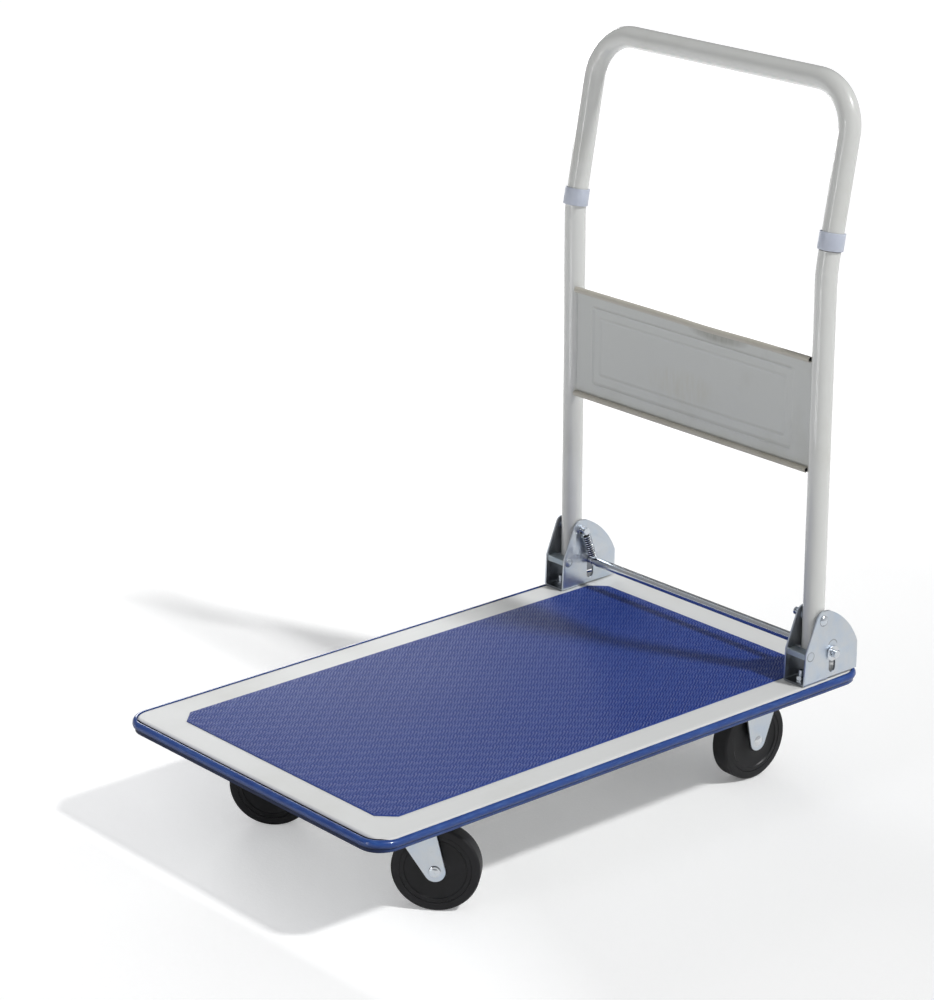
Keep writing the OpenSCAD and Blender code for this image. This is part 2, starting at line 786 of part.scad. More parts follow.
// Side outline of a fork leg, x rearwards from the mounting axis, y up from the axle.
module leg_2d(axle_at, front_top, rear_top, top) {
  eye = [axle_at, 0];
  touch = function(p, turn)
    let (d = eye - p, a = atan2(d[1], d[0]) + turn * asin(fork_eye / norm(d)))
      eye + turn * fork_eye * [-sin(a), cos(a)];
  front = [front_top, top];
  rear = [rear_top, top];
  difference() {
    union() {
      polygon([front, touch(front, -1), eye, touch(rear, 1), rear]);
      translate(eye) circle(fork_eye);
    }
    translate(eye) circle(d = axle_d);
  }
}

module fork_legs(axle_at, front_top, rear_top, top) {
  for (side = [-1, 1])
    translate([side * (fork_inside + fork_sheet) / 2, 0, wheel_r]) rotate([90, 0, 90])
      linear_extrude(fork_sheet, center = true)
        leg_2d(axle_at, front_top, rear_top, top - wheel_r);
}

module swivel_fork(side) {
  front_top = -fork_front;
  rear_top = fork_rear;
  cup = boss_d / 2 + 1;
  color(ZINC) in_caster(side) difference() {
    union() {
      fork_legs(caster_trail, front_top, rear_top, crown_top);
      translate([0, 0, crown_top - crown_t]) cylinder(d = crown_d, h = crown_t);
      translate([-fork_outside / 2, front_top, crown_top - crown_t])
        cube([fork_outside, rear_top - front_top, crown_t]);
      translate([0, 0, crown_top - EPS]) difference() {
        cylinder(r = cup + 2, h = ball_d * 0.7);
        translate([0, 0, -1]) cylinder(r = cup, h = ball_d + 2);
      }
    }
    translate([0, 0, crown_top - crown_t - 1])
      cylinder(d = kingpin_d + 2 * running_gap, h = crown_t + 2);
  }
}

module rear_fork(side) {
  color(ZINC) translate([side * rear_track / 2, caster_rear, 0]) {
    translate([0, plate_setback, 0]) drilled_plate();
    fork_legs(0, plate_setback + rear_leg_room - plate_length / 2,
              plate_setback + plate_length / 2 - rear_leg_room,
              plate_under + plate_thick / 2);
  }
}

module axle() {
  out = fork_outside / 2;
  color(ZINC) {
    bar_x(-out, out, axle_d);
    for (end = [-1, 1]) translate([end * out, 0, 0]) rotate([0, end * 90, 0])
      domed_head(axle_head_d, 2);
  }
}

module wheel_bush() {
  color(ZINC) difference() {
    bar_x(-hub_width / 2, hub_width / 2, axle_bush_d);
    bar_x(-hub_width, hub_width, axle_d + 2 * running_gap);
  }
}

// Half of a wheel's section is mirrored; x is the radius, y the width.
module hub() {
  web = 0.36 * hub_width;
  boss_r = axle_bush_d / 2 + 6;
  rim_r = rim_d / 2;
  rim_w = tread_width / 2 - 1.5;
  color(BLACK) rotate([0, 90, 0]) rotate_extrude()
    polygon([[axle_bush_d / 2, -hub_width / 2], [boss_r, -hub_width / 2], [boss_r + 2, -web],
             [rim_r - 6, -web], [rim_r - 4, -rim_w], [rim_r, -rim_w],
             [rim_r, rim_w], [rim_r - 4, rim_w], [rim_r - 6, web],
             [boss_r + 2, web], [boss_r, hub_width / 2], [axle_bush_d / 2, hub_width / 2]]);
}

module tyre() {
  rim_r = rim_d / 2;
  half = tread_width / 2;
  bevel = 2.5;
  color(BLACK) rotate([0, 90, 0]) rotate_extrude($fn = 96)
    polygon([[rim_r, -half], [wheel_r - bevel, -half], [wheel_r - 0.6, -half + bevel],
             [wheel_r, -half + 2.4 * bevel], [wheel_r, half - 2.4 * bevel],
             [wheel_r - 0.6, half - bevel], [wheel_r - bevel, half], [rim_r, half]]);
}

// Bolts go in from the top under the mat, flush with the pan.
module caster_bolts() {
  grip = pan_sheet + plate_thick + bolt_head_t + 3;
  color(ZINC) caster_bolt_places() translate([0, 0, pan_top - grip])
    cylinder(d = caster_bolt_d, h = grip);
}

module caster_nuts() {
  color(ZINC) caster_bolt_places() translate([0, 0, plate_under - bolt_head_t])
    hex_nut(1.8 * caster_bolt_d, bolt_head_t, caster_bolt_d);
}

// ---- Assembly -------------------------------------------------------------

deck_pan();
bumper_strip();
anti_slip_mat();
rib(-1);  // rib_left
rib(1);  // rib_right
bracket(-1);  // bracket_left
bracket(1);  // bracket_right
stop_strap(-1);  // stop_strap_left
stop_strap(1);  // stop_strap_right
strap_rivets();
bracket_bolts();
bracket_nuts();
pivot_pin(-1);  // pivot_pin_left
pivot_pin(1);  // pivot_pin_right
pivot_bush(-1);  // pivot_bush_left
pivot_bush(1);  // pivot_bush_right
upright(-1);  // upright_left
upright(1);  // upright_right
handle_bow();
collar(-1, collar_left_start);  // collar_left
collar(1, collar_right_start);  // collar_right
back_panel();
lock_rod();
rod_sleeve();
rod_washers();
rod_cotters();
spring(-1);  // spring_left
spring(1);  // spring_right
swivel_plate(-1);  // swivel_plate_left
swivel_plate(1);  // swivel_plate_right
kingpin(-1);  // kingpin_left
kingpin(1);  // kingpin_right
ball_ring(-1);  // ball_ring_left
ball_ring(1);  // ball_ring_right
swivel_fork(-1);  // swivel_fork_left
swivel_fork(1);  // swivel_fork_right
at_front_wheel(-1) axle();  // front_axle_left
at_front_wheel(1) axle();  // front_axle_right
at_front_wheel(-1) wheel_bush();  // front_bush_left
at_front_wheel(1) wheel_bush();  // front_bush_right
at_front_wheel(-1) hub();  // front_hub_left
at_front_wheel(1) hub();  // front_hub_right
at_front_wheel(-1) tyre();  // front_tyre_left
at_front_wheel(1) tyre();  // front_tyre_right
rear_fork(-1);  // rear_fork_left
rear_fork(1);  // rear_fork_right
at_rear_wheel(-1) axle();  // rear_axle_left
at_rear_wheel(1) axle();  // rear_axle_right
at_rear_wheel(-1) wheel_bush();  // rear_bush_left
at_rear_wheel(1) wheel_bush();  // rear_bush_right
at_rear_wheel(-1) hub();  // rear_hub_left
at_rear_wheel(1) hub();  // rear_hub_right
at_rear_wheel(-1) tyre();  // rear_tyre_left
at_rear_wheel(1) tyre();  // rear_tyre_right
caster_bolts();
caster_nuts();
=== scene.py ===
# %% [markdown]
# # A folding platform cart, dressed for its picture
#
# The construction of this cart, every plate, tube, pin and wheel at its real size, is already
# made. It arrives here as a fixed frame: one mesh object for each solid, and one empty for each
# moving body. This lesson dresses that frame. Some pieces only need a finish; others, such as
# the ribbed mat, the wound springs and the rolled back panel, are modelled again with the
# detail that the construction leaves out. Nothing is moved and nothing is resized.

import json
import math

import bmesh
import bpy
import numpy as np
from mathutils import Matrix, Vector


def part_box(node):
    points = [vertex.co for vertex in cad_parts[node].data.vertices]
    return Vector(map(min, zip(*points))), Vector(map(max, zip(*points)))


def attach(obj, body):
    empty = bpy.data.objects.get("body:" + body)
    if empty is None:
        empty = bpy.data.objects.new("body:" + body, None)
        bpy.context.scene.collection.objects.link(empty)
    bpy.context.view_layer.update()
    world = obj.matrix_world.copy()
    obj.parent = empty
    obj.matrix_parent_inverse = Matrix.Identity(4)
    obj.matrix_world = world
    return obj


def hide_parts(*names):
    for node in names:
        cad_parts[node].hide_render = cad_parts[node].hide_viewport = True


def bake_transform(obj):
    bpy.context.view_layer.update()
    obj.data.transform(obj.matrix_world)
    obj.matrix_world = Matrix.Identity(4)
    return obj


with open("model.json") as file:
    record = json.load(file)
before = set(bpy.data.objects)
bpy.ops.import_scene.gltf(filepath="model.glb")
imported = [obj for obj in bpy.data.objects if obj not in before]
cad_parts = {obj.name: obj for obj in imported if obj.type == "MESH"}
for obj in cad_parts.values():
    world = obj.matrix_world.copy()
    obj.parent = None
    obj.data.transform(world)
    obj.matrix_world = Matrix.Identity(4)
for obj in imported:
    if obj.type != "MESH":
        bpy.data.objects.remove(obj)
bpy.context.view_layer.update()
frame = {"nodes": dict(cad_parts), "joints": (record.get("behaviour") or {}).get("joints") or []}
MM = 0.001
print("nodes:", len(frame["nodes"]))

# %% [markdown]
# ## Where things are
#
# Every place below is worked out from the frame, so the pieces fit the construction by
# themselves. A node's box gives its extent, and a joint gives the point and the direction that
# something turns about. Two small helpers keep the rest of the lesson readable.

# %% Places from the frame
JOINTS = {joint["name"]: joint for joint in frame["joints"]}


def low(node):
    return Vector(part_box(node)[0])


def high(node):
    return Vector(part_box(node)[1])


def middle(node):
    return (low(node) + high(node)) / 2


def joint_at(name):
    return Vector(JOINTS[name]["pos_m"])


PAN_HALF = high("deck_pan")
PAN_TOP = high("deck_pan").z
MAT_HALF = high("anti_slip_mat")
MAT_TOP = high("anti_slip_mat").z
PIVOT = joint_at("handle_fold")
ROD = joint_at("lock_bar_press")
UPRIGHT_X = middle("upright_right").x
TUBE_R = (high("upright_right").x - low("upright_right").x) / 2
print("pan half size", [round(v, 3) for v in PAN_HALF], "pivot", [round(v, 3) for v in PIVOT])

# %% [markdown]
# ## The camera
#
# The cart is seen from its front right corner, a little above, with a long lens that keeps the
# deck's edges almost parallel. The camera is placed on a sphere round a point near the deck: an
# azimuth, an elevation and a distance say where, and a small slide sideways and up frames the
# whole handle.

# %% Camera
AZIMUTH = math.radians(49.064)
ELEVATION = math.radians(19.335)
CAMERA_DISTANCE = 3.6819
SLIDE_RIGHT = -0.0383
SLIDE_UP = 0.2147
LENS = 117.33

back = Vector((math.sin(AZIMUTH) * math.cos(ELEVATION), -math.cos(AZIMUTH) * math.cos(ELEVATION),
               math.sin(ELEVATION)))
right = Vector((math.cos(AZIMUTH), math.sin(AZIMUTH), 0))
up = back.cross(right)
camera = bpy.data.objects.new("camera", bpy.data.cameras.new("camera"))
bpy.context.collection.objects.link(camera)
camera.data.lens = LENS
camera.data.clip_end = 50
turn = Matrix((right, up, back)).transposed().to_4x4()
eye = Vector((0, 0, MAT_TOP)) + back * CAMERA_DISTANCE + right * SLIDE_RIGHT + up * SLIDE_UP
camera.matrix_world = Matrix.Translation(eye) @ turn
bpy.context.scene.camera = camera
bpy.context.scene.view_settings.view_transform = "Standard"
print("camera at", [round(v, 3) for v in eye])

# %% [markdown]
# ## Shader maths in plain Python
#
# A finish is a network of nodes, and most of it is arithmetic. Wiring Math nodes by hand is
# slow to write and slower to read, so one small class wraps a socket and lets `1 - mask * 0.3`
# build its own Math nodes. A second class holds a network and has a single method for every
# other kind of node; a finish is the network of one material.

# %% A value that writes its own Math nodes
class Value:
    def __init__(self, network, socket):
        self.network = network
        self.socket = socket

    def math(self, operation, *others):
        inputs = dict(enumerate((self, *others)))
        return self.network.node("ShaderNodeMath", {"operation": operation}, inputs)

    def __add__(self, other):
        return self.math("ADD", other)

    __radd__ = __add__

    def __mul__(self, other):
        return self.math("MULTIPLY", other)

    def __sub__(self, other):
        return self.math("SUBTRACT", other)

    def __rsub__(self, other):
        return self.network.node("ShaderNodeMath", {"operation": "SUBTRACT"}, {0: other, 1: self})

    def __abs__(self):
        return self.math("ABSOLUTE")

    def at_most(self, other):
        return self.math("MINIMUM", other)

    def at_least(self, other):
        return self.math("MAXIMUM", other)

    def __pow__(self, other):
        return self.math("POWER", other)

    def ramp(self, start, end):
        """0 below start, 1 above end, straight in between; start may be the larger one."""
        inputs = {"Value": self, "From Min": start, "From Max": end}
        return self.network.node("ShaderNodeMapRange", {"clamp": True}, inputs)


# %% A network of nodes, and a finish: the network of one material
class Network:
    def __init__(self, tree):
        self.tree = tree

    def node(self, kind, settings=None, inputs=None, output=0):
        made = self.tree.nodes.new(kind)
        for key, value in (settings or {}).items():
            setattr(made, key, value)
        for key, value in (inputs or {}).items():
            self.feed(made.inputs[key], value)
        return Value(self, made.outputs[output])

    def feed(self, socket, value):
        if isinstance(value, Value):
            self.tree.links.new(value.socket, socket)
        else:
            socket.default_value = value

    def blend(self, amount, first, second):
        """A colour between two others; each may be a colour or a value."""
        inputs = {0: amount, 6: first, 7: second}
        return self.node("ShaderNodeMix", {"data_type": "RGBA"}, inputs, output=2)


class Finish(Network):
    def __init__(self, name, tint, **plain):
        self.shade = tint
        self.material = bpy.data.materials.new(name)
        self.material.use_nodes = True
        super().__init__(self.material.node_tree)
        self.shader = self.tree.nodes["Principled BSDF"]
        self.sockets = {socket.name.lower().replace(" ", "_"): socket
                        for socket in self.shader.inputs}
        for socket, value in plain.items():
            self.sockets[socket].default_value = value

    def place(self, axis=None):
        """The point on the piece, in metres, or one of its coordinates."""
        point = self.node("ShaderNodeTexCoord", output="Object")
        if axis is None:
            return point
        return self.node("ShaderNodeSeparateXYZ", inputs={0: point}, output=axis)

    def noise(self, scale, detail, roughness=0.55):
        """Cloudy noise from 0 to 1; scale is blobs in a metre, or three numbers for x, y and z."""
        at = self.place()
        if isinstance(scale, tuple):
            at = self.node("ShaderNodeVectorMath", {"operation": "MULTIPLY"}, {0: at, 1: scale})
            scale = 1.0
        inputs = {"Vector": at, "Scale": scale, "Detail": detail, "Roughness": roughness}
        return self.node("ShaderNodeTexNoise", inputs=inputs)

    def over(self, amount, tint):
        """Lays another colour over the finish, as much of it as amount says."""
        self.shade = self.blend(amount, self.shade, tint)

    def bump(self, height, distance, strength, over=None):
        inputs = {"Height": height, "Distance": distance, "Strength": strength}
        if over is not None:
            inputs["Normal"] = over
        return self.node("ShaderNodeBump", inputs=inputs)

    def wear(self, **sockets):
        """Feeds the shade and whatever else varies to the shader."""
        for socket, value in {"base_color": self.shade, **sockets}.items():
            self.feed(self.sockets[socket], value)
        return self.material


def colour(red, green, blue):
    """A colour as it looks on a screen, 0 to 255, turned into the renderer's linear light."""
    linear = [((v / 255 + 0.055) / 1.055) ** 2.4 if v > 10 else v / 255 / 12.92
              for v in (red, green, blue)]
    return (*linear, 1.0)


def scaled(tint, red, green, blue):
    """A tint with each of its channels made weaker or stronger."""
    return (tint[0] * red, tint[1] * green, tint[2] * blue, 1.0)


# %% [markdown]
# ## Stoved enamel: the deck, the tubes and the panel
#
# The deck and handle are sprayed with a warm light grey enamel and baked. Up close such paint
# is never quite flat: it has the faint dimples that painters call orange peel, it takes up a
# little grime, and its gloss varies where hands and boxes have rubbed it. One function makes
# all four enamels: the tubes' has a clear coat over it, the deck's carries painted shade along
# its rounded front and left edges, the panel's is stained and darker in its dent, and the
# darkest is for the panel's rolled edges.

# %% Enamel
def enamel(name, tint, grime, roughness, coat=0.0, shine=0.35, marks=None):
    paint = Finish(name, tint, roughness=roughness, specular_ior_level=shine, coat_weight=coat,
                   coat_roughness=0.05)
    clouds = paint.noise(7.0, 5.0, 0.6)
    specks = paint.noise(900.0, 2.0)
    dirt = (clouds - 0.5).ramp(0.02, 0.22) * grime
    spots = specks.ramp(0.74, 0.80) * grime
    paint.over((dirt + spots).at_most(1.0), scaled(tint, 0.72, 0.70, 0.62))
    if marks:
        marks(paint)
    peel = paint.noise(330.0, 1.0)
    waves = paint.noise(14.0, 1.0)
    dimples = paint.bump(peel, 0.05 * MM, 0.5, over=paint.bump(waves, 0.5 * MM, 0.35))
    return paint.wear(roughness=roughness + (clouds - 0.5) * 0.25, normal=dimples)


def shaded_shoulder(paint):
    """Painted shade along the pan's rounded front and left edges, which face away from the lamp.
    """
    front = paint.place(1).ramp(8.5 * MM - PAN_HALF.y, 1.0 * MM - PAN_HALF.y)
    left = paint.place(0).ramp(6.5 * MM - PAN_HALF.x, 1.0 * MM - PAN_HALF.x)
    paint.over(front.at_least(left * 0.8) * 0.85, colour(112, 114, 134))


def smudge(paint, x, z, half_x, half_z):
    """1 in the middle of an oval on the panel and 0 at its edge."""
    off_x, off_z = (paint.place(0) - x) * (1 / half_x), (paint.place(2) - z) * (1 / half_z)
    return (off_x ** 2 + off_z ** 2).ramp(1.0, 0.2)


# Ovals on the panel: across, up, half the width, half the height.
DRIPS = (-12 * MM, 428 * MM, 62 * MM, 24 * MM)
DENT_DARKER = (45 * MM, 501 * MM, 50 * MM, 9 * MM)


def stained(paint):
    """Stains on the panel: faint drips low down on its front, and a darker patch in the dent high
    up.
    """
    drips = paint.noise((260.0, 260.0, 35.0), 3.0, 0.6).ramp(0.35, 0.75)
    back = high("back_panel").y
    in_front = paint.place(1).ramp(back + 0.7 * MM, back + 0.3 * MM)
    paint.over(smudge(paint, *DRIPS) * in_front * drips * 0.2, colour(182, 174, 140))
    paint.over(smudge(paint, *DENT_DARKER) * (drips * 0.25 + 0.4), colour(132, 130, 118))


# The deck's enamel carries painted shade along its rounded front and left edges.
DECK_ENAMEL = enamel("deck_enamel", colour(213, 214, 213), 0.22, 0.46, shine=0.15,
                     marks=shaded_shoulder)
HANDLE_ENAMEL = enamel("handle_enamel", colour(213, 214, 211), 0.3, 0.34, coat=1.0)
PANEL_ENAMEL = enamel("panel_enamel", colour(203, 205, 202), 0.35, 0.42, marks=stained)
HEM_ENAMEL = enamel("hem_enamel", colour(192, 188, 177), 0.6, 0.45)

# %% [markdown]
# ## Zinc plate: brackets, forks, rod and fasteners
#
# The hinge brackets and casters are mild steel, pressed and then zinc plated. Plating is bright
# but not a mirror: the rolled sheet underneath leaves fine streaks, and the bath leaves soft
# bluish clouds. The finish is a metal whose roughness follows those streaks and clouds. The
# brackets have two marks of their own: painted shade darkens them between their plates, and
# the bar's washers have rubbed a thin arc above each slot.

# %% Zinc
def zinc(name, tint, roughness, streaks=1.0, marks=None):
    plate = Finish(name, tint, metallic=1.0, roughness=roughness)
    rolled = plate.noise((40.0, 900.0, 700.0), 4.0, 0.7)
    clouds = plate.noise(55.0, 4.0)
    scratches = plate.noise((2500.0, 90.0, 1600.0), 2.0, 0.5)
    plate.over(clouds.ramp(0.35, 0.7), scaled(tint, 0.90, 0.96, 1.04))
    plate.over(rolled.ramp(0.55, 0.75) * (0.35 * streaks), scaled(tint, 0.78, 0.78, 0.78))
    if marks:
        marks(plate)
    gloss = roughness + (clouds - 0.5) * 0.22 + (scratches - 0.5) * (0.12 * streaks)
    return plate.wear(roughness=gloss.at_least(0.12),
                      normal=plate.bump(rolled, 0.03 * MM, 0.35 * streaks))


RUB_UP = 9 * MM
RUB_R = 7 * MM


def bracket_shade_and_rub(plate):
    """Painted shade on the plating between a bracket's plates, and the arc rubbed above its slot.
    """
    from_tube = abs(abs(plate.place(0)) - UPRIGHT_X)
    between = from_tube.ramp(TUBE_R + 2.6 * MM, TUBE_R + 1.6 * MM)
    plate.over(between * 0.75, colour(120, 122, 126))
    off_y, off_z = plate.place(1) - ROD.y, plate.place(2) - ROD.z - RUB_UP
    rub = abs((off_y ** 2 + off_z ** 2) ** 0.5 - RUB_R).ramp(1.0 * MM, 0.3 * MM)
    plate.over(rub * off_z.ramp(0.0, 3 * MM) * 0.6, colour(120, 124, 130))


ZINC = zinc("zinc_plate", colour(214, 219, 224), 0.34)
BRACKET_ZINC = zinc("bracket_zinc", colour(214, 219, 224), 0.34, marks=bracket_shade_and_rub)
STRAP_ZINC = zinc("strap_zinc", colour(190, 198, 202), 0.62)
BRIGHT_ZINC = zinc("bright_zinc", colour(226, 228, 230), 0.2, 0.5)
# This darker finish serves the thread ends and the painted contact shade under riveted heads.
DARK_STEEL = zinc("worn_steel", colour(150, 153, 156), 0.3, 0.6)

# %% [markdown]
# ## Rubber, vinyl and plastic
#
# The mat is a dyed rubber sheet: matt, with a faint sheen when it is seen along the surface;
# the shade in its grooves is painted with a darker finish. The bumper is a glossy blue vinyl
# extrusion, so its light comes from a coat, and its lower half is darkened with painted shade.
# The wheels are black rubber on black plastic, each with the grey bloom and the pale dust specks
# of a floor. The two tube collars are a pale lavender plastic that lets a little light into it.
# The darkest finish of all is painted shade, for the insides of gaps and holes.

# %% Rubber, vinyl and plastic finishes
def mat_rubber(name, worn, dusty, sheen, shine=0.4):
    rubber = Finish(name, worn, roughness=sheen, specular_ior_level=shine)
    grain = rubber.noise(1500.0, 2.0)
    rubber.over(rubber.noise(5.0, 4.0).ramp(0.3, 0.75), dusty)
    rubber.over(grain.ramp(0.6, 0.8) * 0.25, colour(92, 104, 170))
    return rubber.wear(roughness=sheen + (grain - 0.5) * 0.25,
                       normal=rubber.bump(grain, 0.08 * MM, 0.4))


def bumper_vinyl():
    vinyl = Finish("bumper_vinyl", colour(18, 56, 126), roughness=0.38, coat_roughness=0.12,
                   specular_ior_level=0.3)
    patches = vinyl.noise(24.0, 5.0, 0.65)
    cloud = vinyl.noise((60.0, 60.0, 420.0), 4.0, 0.6)
    scuff = vinyl.noise((160.0, 40.0, 2200.0), 3.0)
    # Painted shade: the strip darkens towards its foot, more along the front, which faces away
    # from the lamp; there its coat fades and it grows rougher.
    front = vinyl.place(1).ramp(-335 * MM, -360 * MM)
    foot = vinyl.place(2).ramp(PAN_TOP - 4 * MM, PAN_TOP - 9 * MM) * (front * 0.65 + 0.3)
    vinyl.over(patches.ramp(0.35, 0.7), colour(28, 70, 142))
    vinyl.over(cloud.ramp(0.5, 0.72) * 0.45, colour(66, 104, 168))
    vinyl.over(scuff.ramp(0.64, 0.8) * 0.4, colour(110, 136, 190))
    vinyl.over(foot, colour(10, 22, 52))
    return vinyl.wear(roughness=0.36 + (patches - 0.5) * 0.3 + foot * 0.3,
                      coat_weight=0.6 - foot * 0.6, normal=vinyl.bump(patches, 0.4 * MM, 0.25))


def black_rubber(name, level, roughness, dust):
    rubber = Finish(name, colour(level, level, level + 2), roughness=roughness,
                    specular_ior_level=0.3)
    bloom = rubber.noise(30.0, 4.0, 0.6)
    specks = rubber.noise(620.0, 1.0)
    scuffs = rubber.noise(60.0, 5.0, 0.75)
    rubber.over(bloom.ramp(0.3, 0.8), colour(level + 14, level + 14, level + 17))
    mask = (specks.ramp(0.79, 0.83) + scuffs.ramp(0.70, 0.76) * 0.3).at_most(1.0) * dust
    rubber.over(mask, colour(128, 126, 122))
    return rubber.wear(roughness=roughness + (bloom - 0.5) * 0.3,
                       normal=rubber.bump(bloom + specks * 0.2, 0.15 * MM, 0.3))


def collar_plastic():
    plastic = Finish("collar_plastic", colour(188, 194, 208), roughness=0.42,
                     subsurface_weight=0.15, subsurface_scale=2 * MM,
                     subsurface_radius=(1.0, 0.9, 0.9))
    clouds = plastic.noise(60.0, 3.0)
    plastic.over(clouds.ramp(0.3, 0.7), colour(198, 204, 216))
    return plastic.wear(normal=plastic.bump(clouds, 0.1 * MM, 0.3))


MAT_RUBBER = mat_rubber("mat_rubber", colour(34, 60, 134), colour(42, 68, 140), 0.45)
# Painted shade for the grooves between the mat's ribs: darker, with almost no sheen.
GROOVE_SHADE = mat_rubber("mat_groove_rubber", colour(24, 46, 118), colour(30, 52, 124), 0.5, 0.1)
BUMPER_VINYL = bumper_vinyl()
TREAD_RUBBER = black_rubber("tread_rubber", 20, 0.5, 0.8)
HUB_PLASTIC = black_rubber("hub_plastic", 16, 0.4, 0.5)
COLLAR_PLASTIC = collar_plastic()
# Painted shade: a near-black finish, put into gaps, slots and hollow insides where only shade
# falls.
SHADE_BLACK = black_rubber("dark_recess", 12, 0.8, 0.0)

# %% [markdown]
# ## Making pieces
#
# A piece is a mesh, a finish and the body it rides on. Smooth shading alone would smear the
# light round every corner, so edges sharper than a chosen angle are marked sharp. Two shapes
# come back all the time: a closed profile carried round a path, and a profile turned about an
# axis.

# %% Make a piece
def piece(name, shape, finish, body, sharp=35.0, replaces=()):
    """shape is a pair: the points, and the faces between them."""
    points, faces = shape
    mesh = bpy.data.meshes.new(name)
    mesh.from_pydata([tuple(p) for p in points], [], [tuple(f) for f in faces])
    return finish_piece(name, mesh, finish, body, sharp, replaces)


def finish_piece(name, mesh, finish, body, sharp, replaces):
    shell = bmesh.new()
    shell.from_mesh(mesh)
    bmesh.ops.recalc_face_normals(shell, faces=shell.faces)
    for edge in shell.edges:
        edge.smooth = len(edge.link_faces) == 2 and edge.calc_face_angle() < math.radians(sharp)
    for face in shell.faces:
        face.smooth = True
    shell.to_mesh(mesh)
    shell.free()
    obj = bpy.data.objects.new(name, mesh)
    bpy.context.collection.objects.link(obj)
    mesh.materials.append(finish)
    if body:
        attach(obj, body)
    if replaces:
        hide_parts(*replaces)
    return obj


# %% Join rings of points into a skin
def skin(rings, closed_ring=True, closed_path=False, capped=True):
    """Faces between rings of equal length, numbered ring by ring."""
    count, size = len(rings), len(rings[0])
    faces = []
    for i in range(count if closed_path else count - 1):
        a, b = i * size, (i + 1) % count * size
        for j in range(size if closed_ring else size - 1):
            k = (j + 1) % size
            faces.append((a + j, a + k, b + k, b + j))
    if capped and not closed_path:
        faces.append(tuple(reversed(range(size))))
        faces.append(tuple(range((count - 1) * size, count * size)))
    return [p for ring in rings for p in ring], faces


def arc(centre, radius, start, end, steps):
    """Points on an arc in a plane, angles in degrees, both ends included."""
    angles = [math.radians(start + (end - start) * i / steps) for i in range(steps + 1)]
    return [(centre[0] + radius * math.cos(a), centre[1] + radius * math.sin(a)) for a in angles]


def joined(parts):
    """One set of points and faces out of several."""
    points, faces = [], []
    for new_points, new_faces in parts:
        shift = len(points)
        points += new_points
        faces += [tuple(v + shift for v in face) for face in new_faces]
    return points, faces


# %% A profile turned about an axis
def turned(profile, centre, axis, steps, closed=False):
    """profile holds (along the axis, radius); the axis passes through centre."""
    centre, axis = Vector(centre), Vector(axis).normalized()
    side = axis.orthogonal().normalized()
    other = axis.cross(side)
    rings = []
    for i in range(steps):
        angle = 2 * math.pi * i / steps
        outward = side * math.cos(angle) + other * math.sin(angle)
        rings.append([centre + axis * along + outward * radius for along, radius in profile])
    return skin(rings, closed_ring=closed, closed_path=True)


# %% A round tube along a path
def tube_along(path, radius, sides, capped=True):
    path = [Vector(p) for p in path]
    heading = (path[1] - path[0]).normalized()
    side = heading.orthogonal().normalized()
    rings = []
    for i, point in enumerate(path):
        after = path[min(i + 1, len(path) - 1)] - point
        before = point - path[max(i - 1, 0)]
        new_heading = (after.normalized() + before.normalized()).normalized()
        side = (heading.rotation_difference(new_heading) @ side).normalized()
        heading = new_heading
        other = heading.cross(side)
        rings.append([point + (side * math.cos(a) + other * math.sin(a)) * radius
                      for a in np.linspace(0, 2 * math.pi, sides, endpoint=False)])
    return skin(rings, capped=capped)


# %% [markdown]
# ## Softened sheet metal
#
# Pressed and plated parts never have razor edges, and it is the thin bright line along a
# softened edge that makes sheet metal look real. The construction's own mesh is right in shape,
# so a copy of it is cleaned up, the edges of its flat faces are rounded by a fraction of a
# millimetre, and the copy stands in for the node.

# %% Copy a node with softened edges
def softened(node, finish, body, width, sharp=32.0):
    shell = bmesh.new()
    shell.from_mesh(frame["nodes"][node].data)
    bmesh.ops.remove_doubles(shell, verts=shell.verts, dist=0.002 * MM)
    bmesh.ops.dissolve_limit(shell, angle_limit=math.radians(1.0), verts=shell.verts,
                             edges=shell.edges, use_dissolve_boundaries=False)
    corners = [e for e in shell.edges
               if len(e.link_faces) == 2 and e.calc_face_angle() > math.radians(sharp)]
    bmesh.ops.bevel(shell, geom=corners, offset=width, offset_type="OFFSET", segments=2,
                    profile=0.6, affect="EDGES", clamp_overlap=True)
    mesh = bpy.data.meshes.new(node + "_soft")
    shell.to_mesh(mesh)
    shell.free()
    return finish_piece(node + "_soft", mesh, finish, body, 30.0, (node,))


def dress(finish, *nodes):
    """Gives their finish to construction meshes that are right as they are."""
    for node in nodes:
        obj = frame["nodes"][node]
        obj.data.materials.clear()
        obj.data.materials.append(finish)


# %% [markdown]
# ## The deck
#
# The deck is one pressing of 1.5 mm steel: a flat top, rolled over all round into a short
# skirt. Seen from above it is the rolled edge that catches the light, so the edge is swept as a
# fine profile round the deck's rounded rectangle, and the flat parts are two large faces.

# %% The path round the deck
CORNER_R = 25 * MM
CORNER_STEPS = 14
EDGE_STEP = 18 * MM


def deck_path():
    """Points and outward directions round the pan's outline."""
    half_x, half_y = PAN_HALF.x - CORNER_R, PAN_HALF.y - CORNER_R
    places = []
    for quarter, (sx, sy) in enumerate(((1, 1), (-1, 1), (-1, -1), (1, -1))):
        for x, y in arc((0, 0), 1, 90 * quarter, 90 * quarter + 90, CORNER_STEPS):
            place = Vector((sx * half_x + x * CORNER_R, sy * half_y + y * CORNER_R, 0))
            places.append((place, Vector((x, y, 0))))
    filled = []
    for i, (place, outward) in enumerate(places):
        after = places[(i + 1) % len(places)][0]
        filled.append((place, outward))
        gap = (after - place).length
        if gap > 2 * EDGE_STEP:
            steps = int(gap / EDGE_STEP)
            filled += [(place.lerp(after, j / steps), outward) for j in range(1, steps)]
    return filled


DECK_PATH = deck_path()


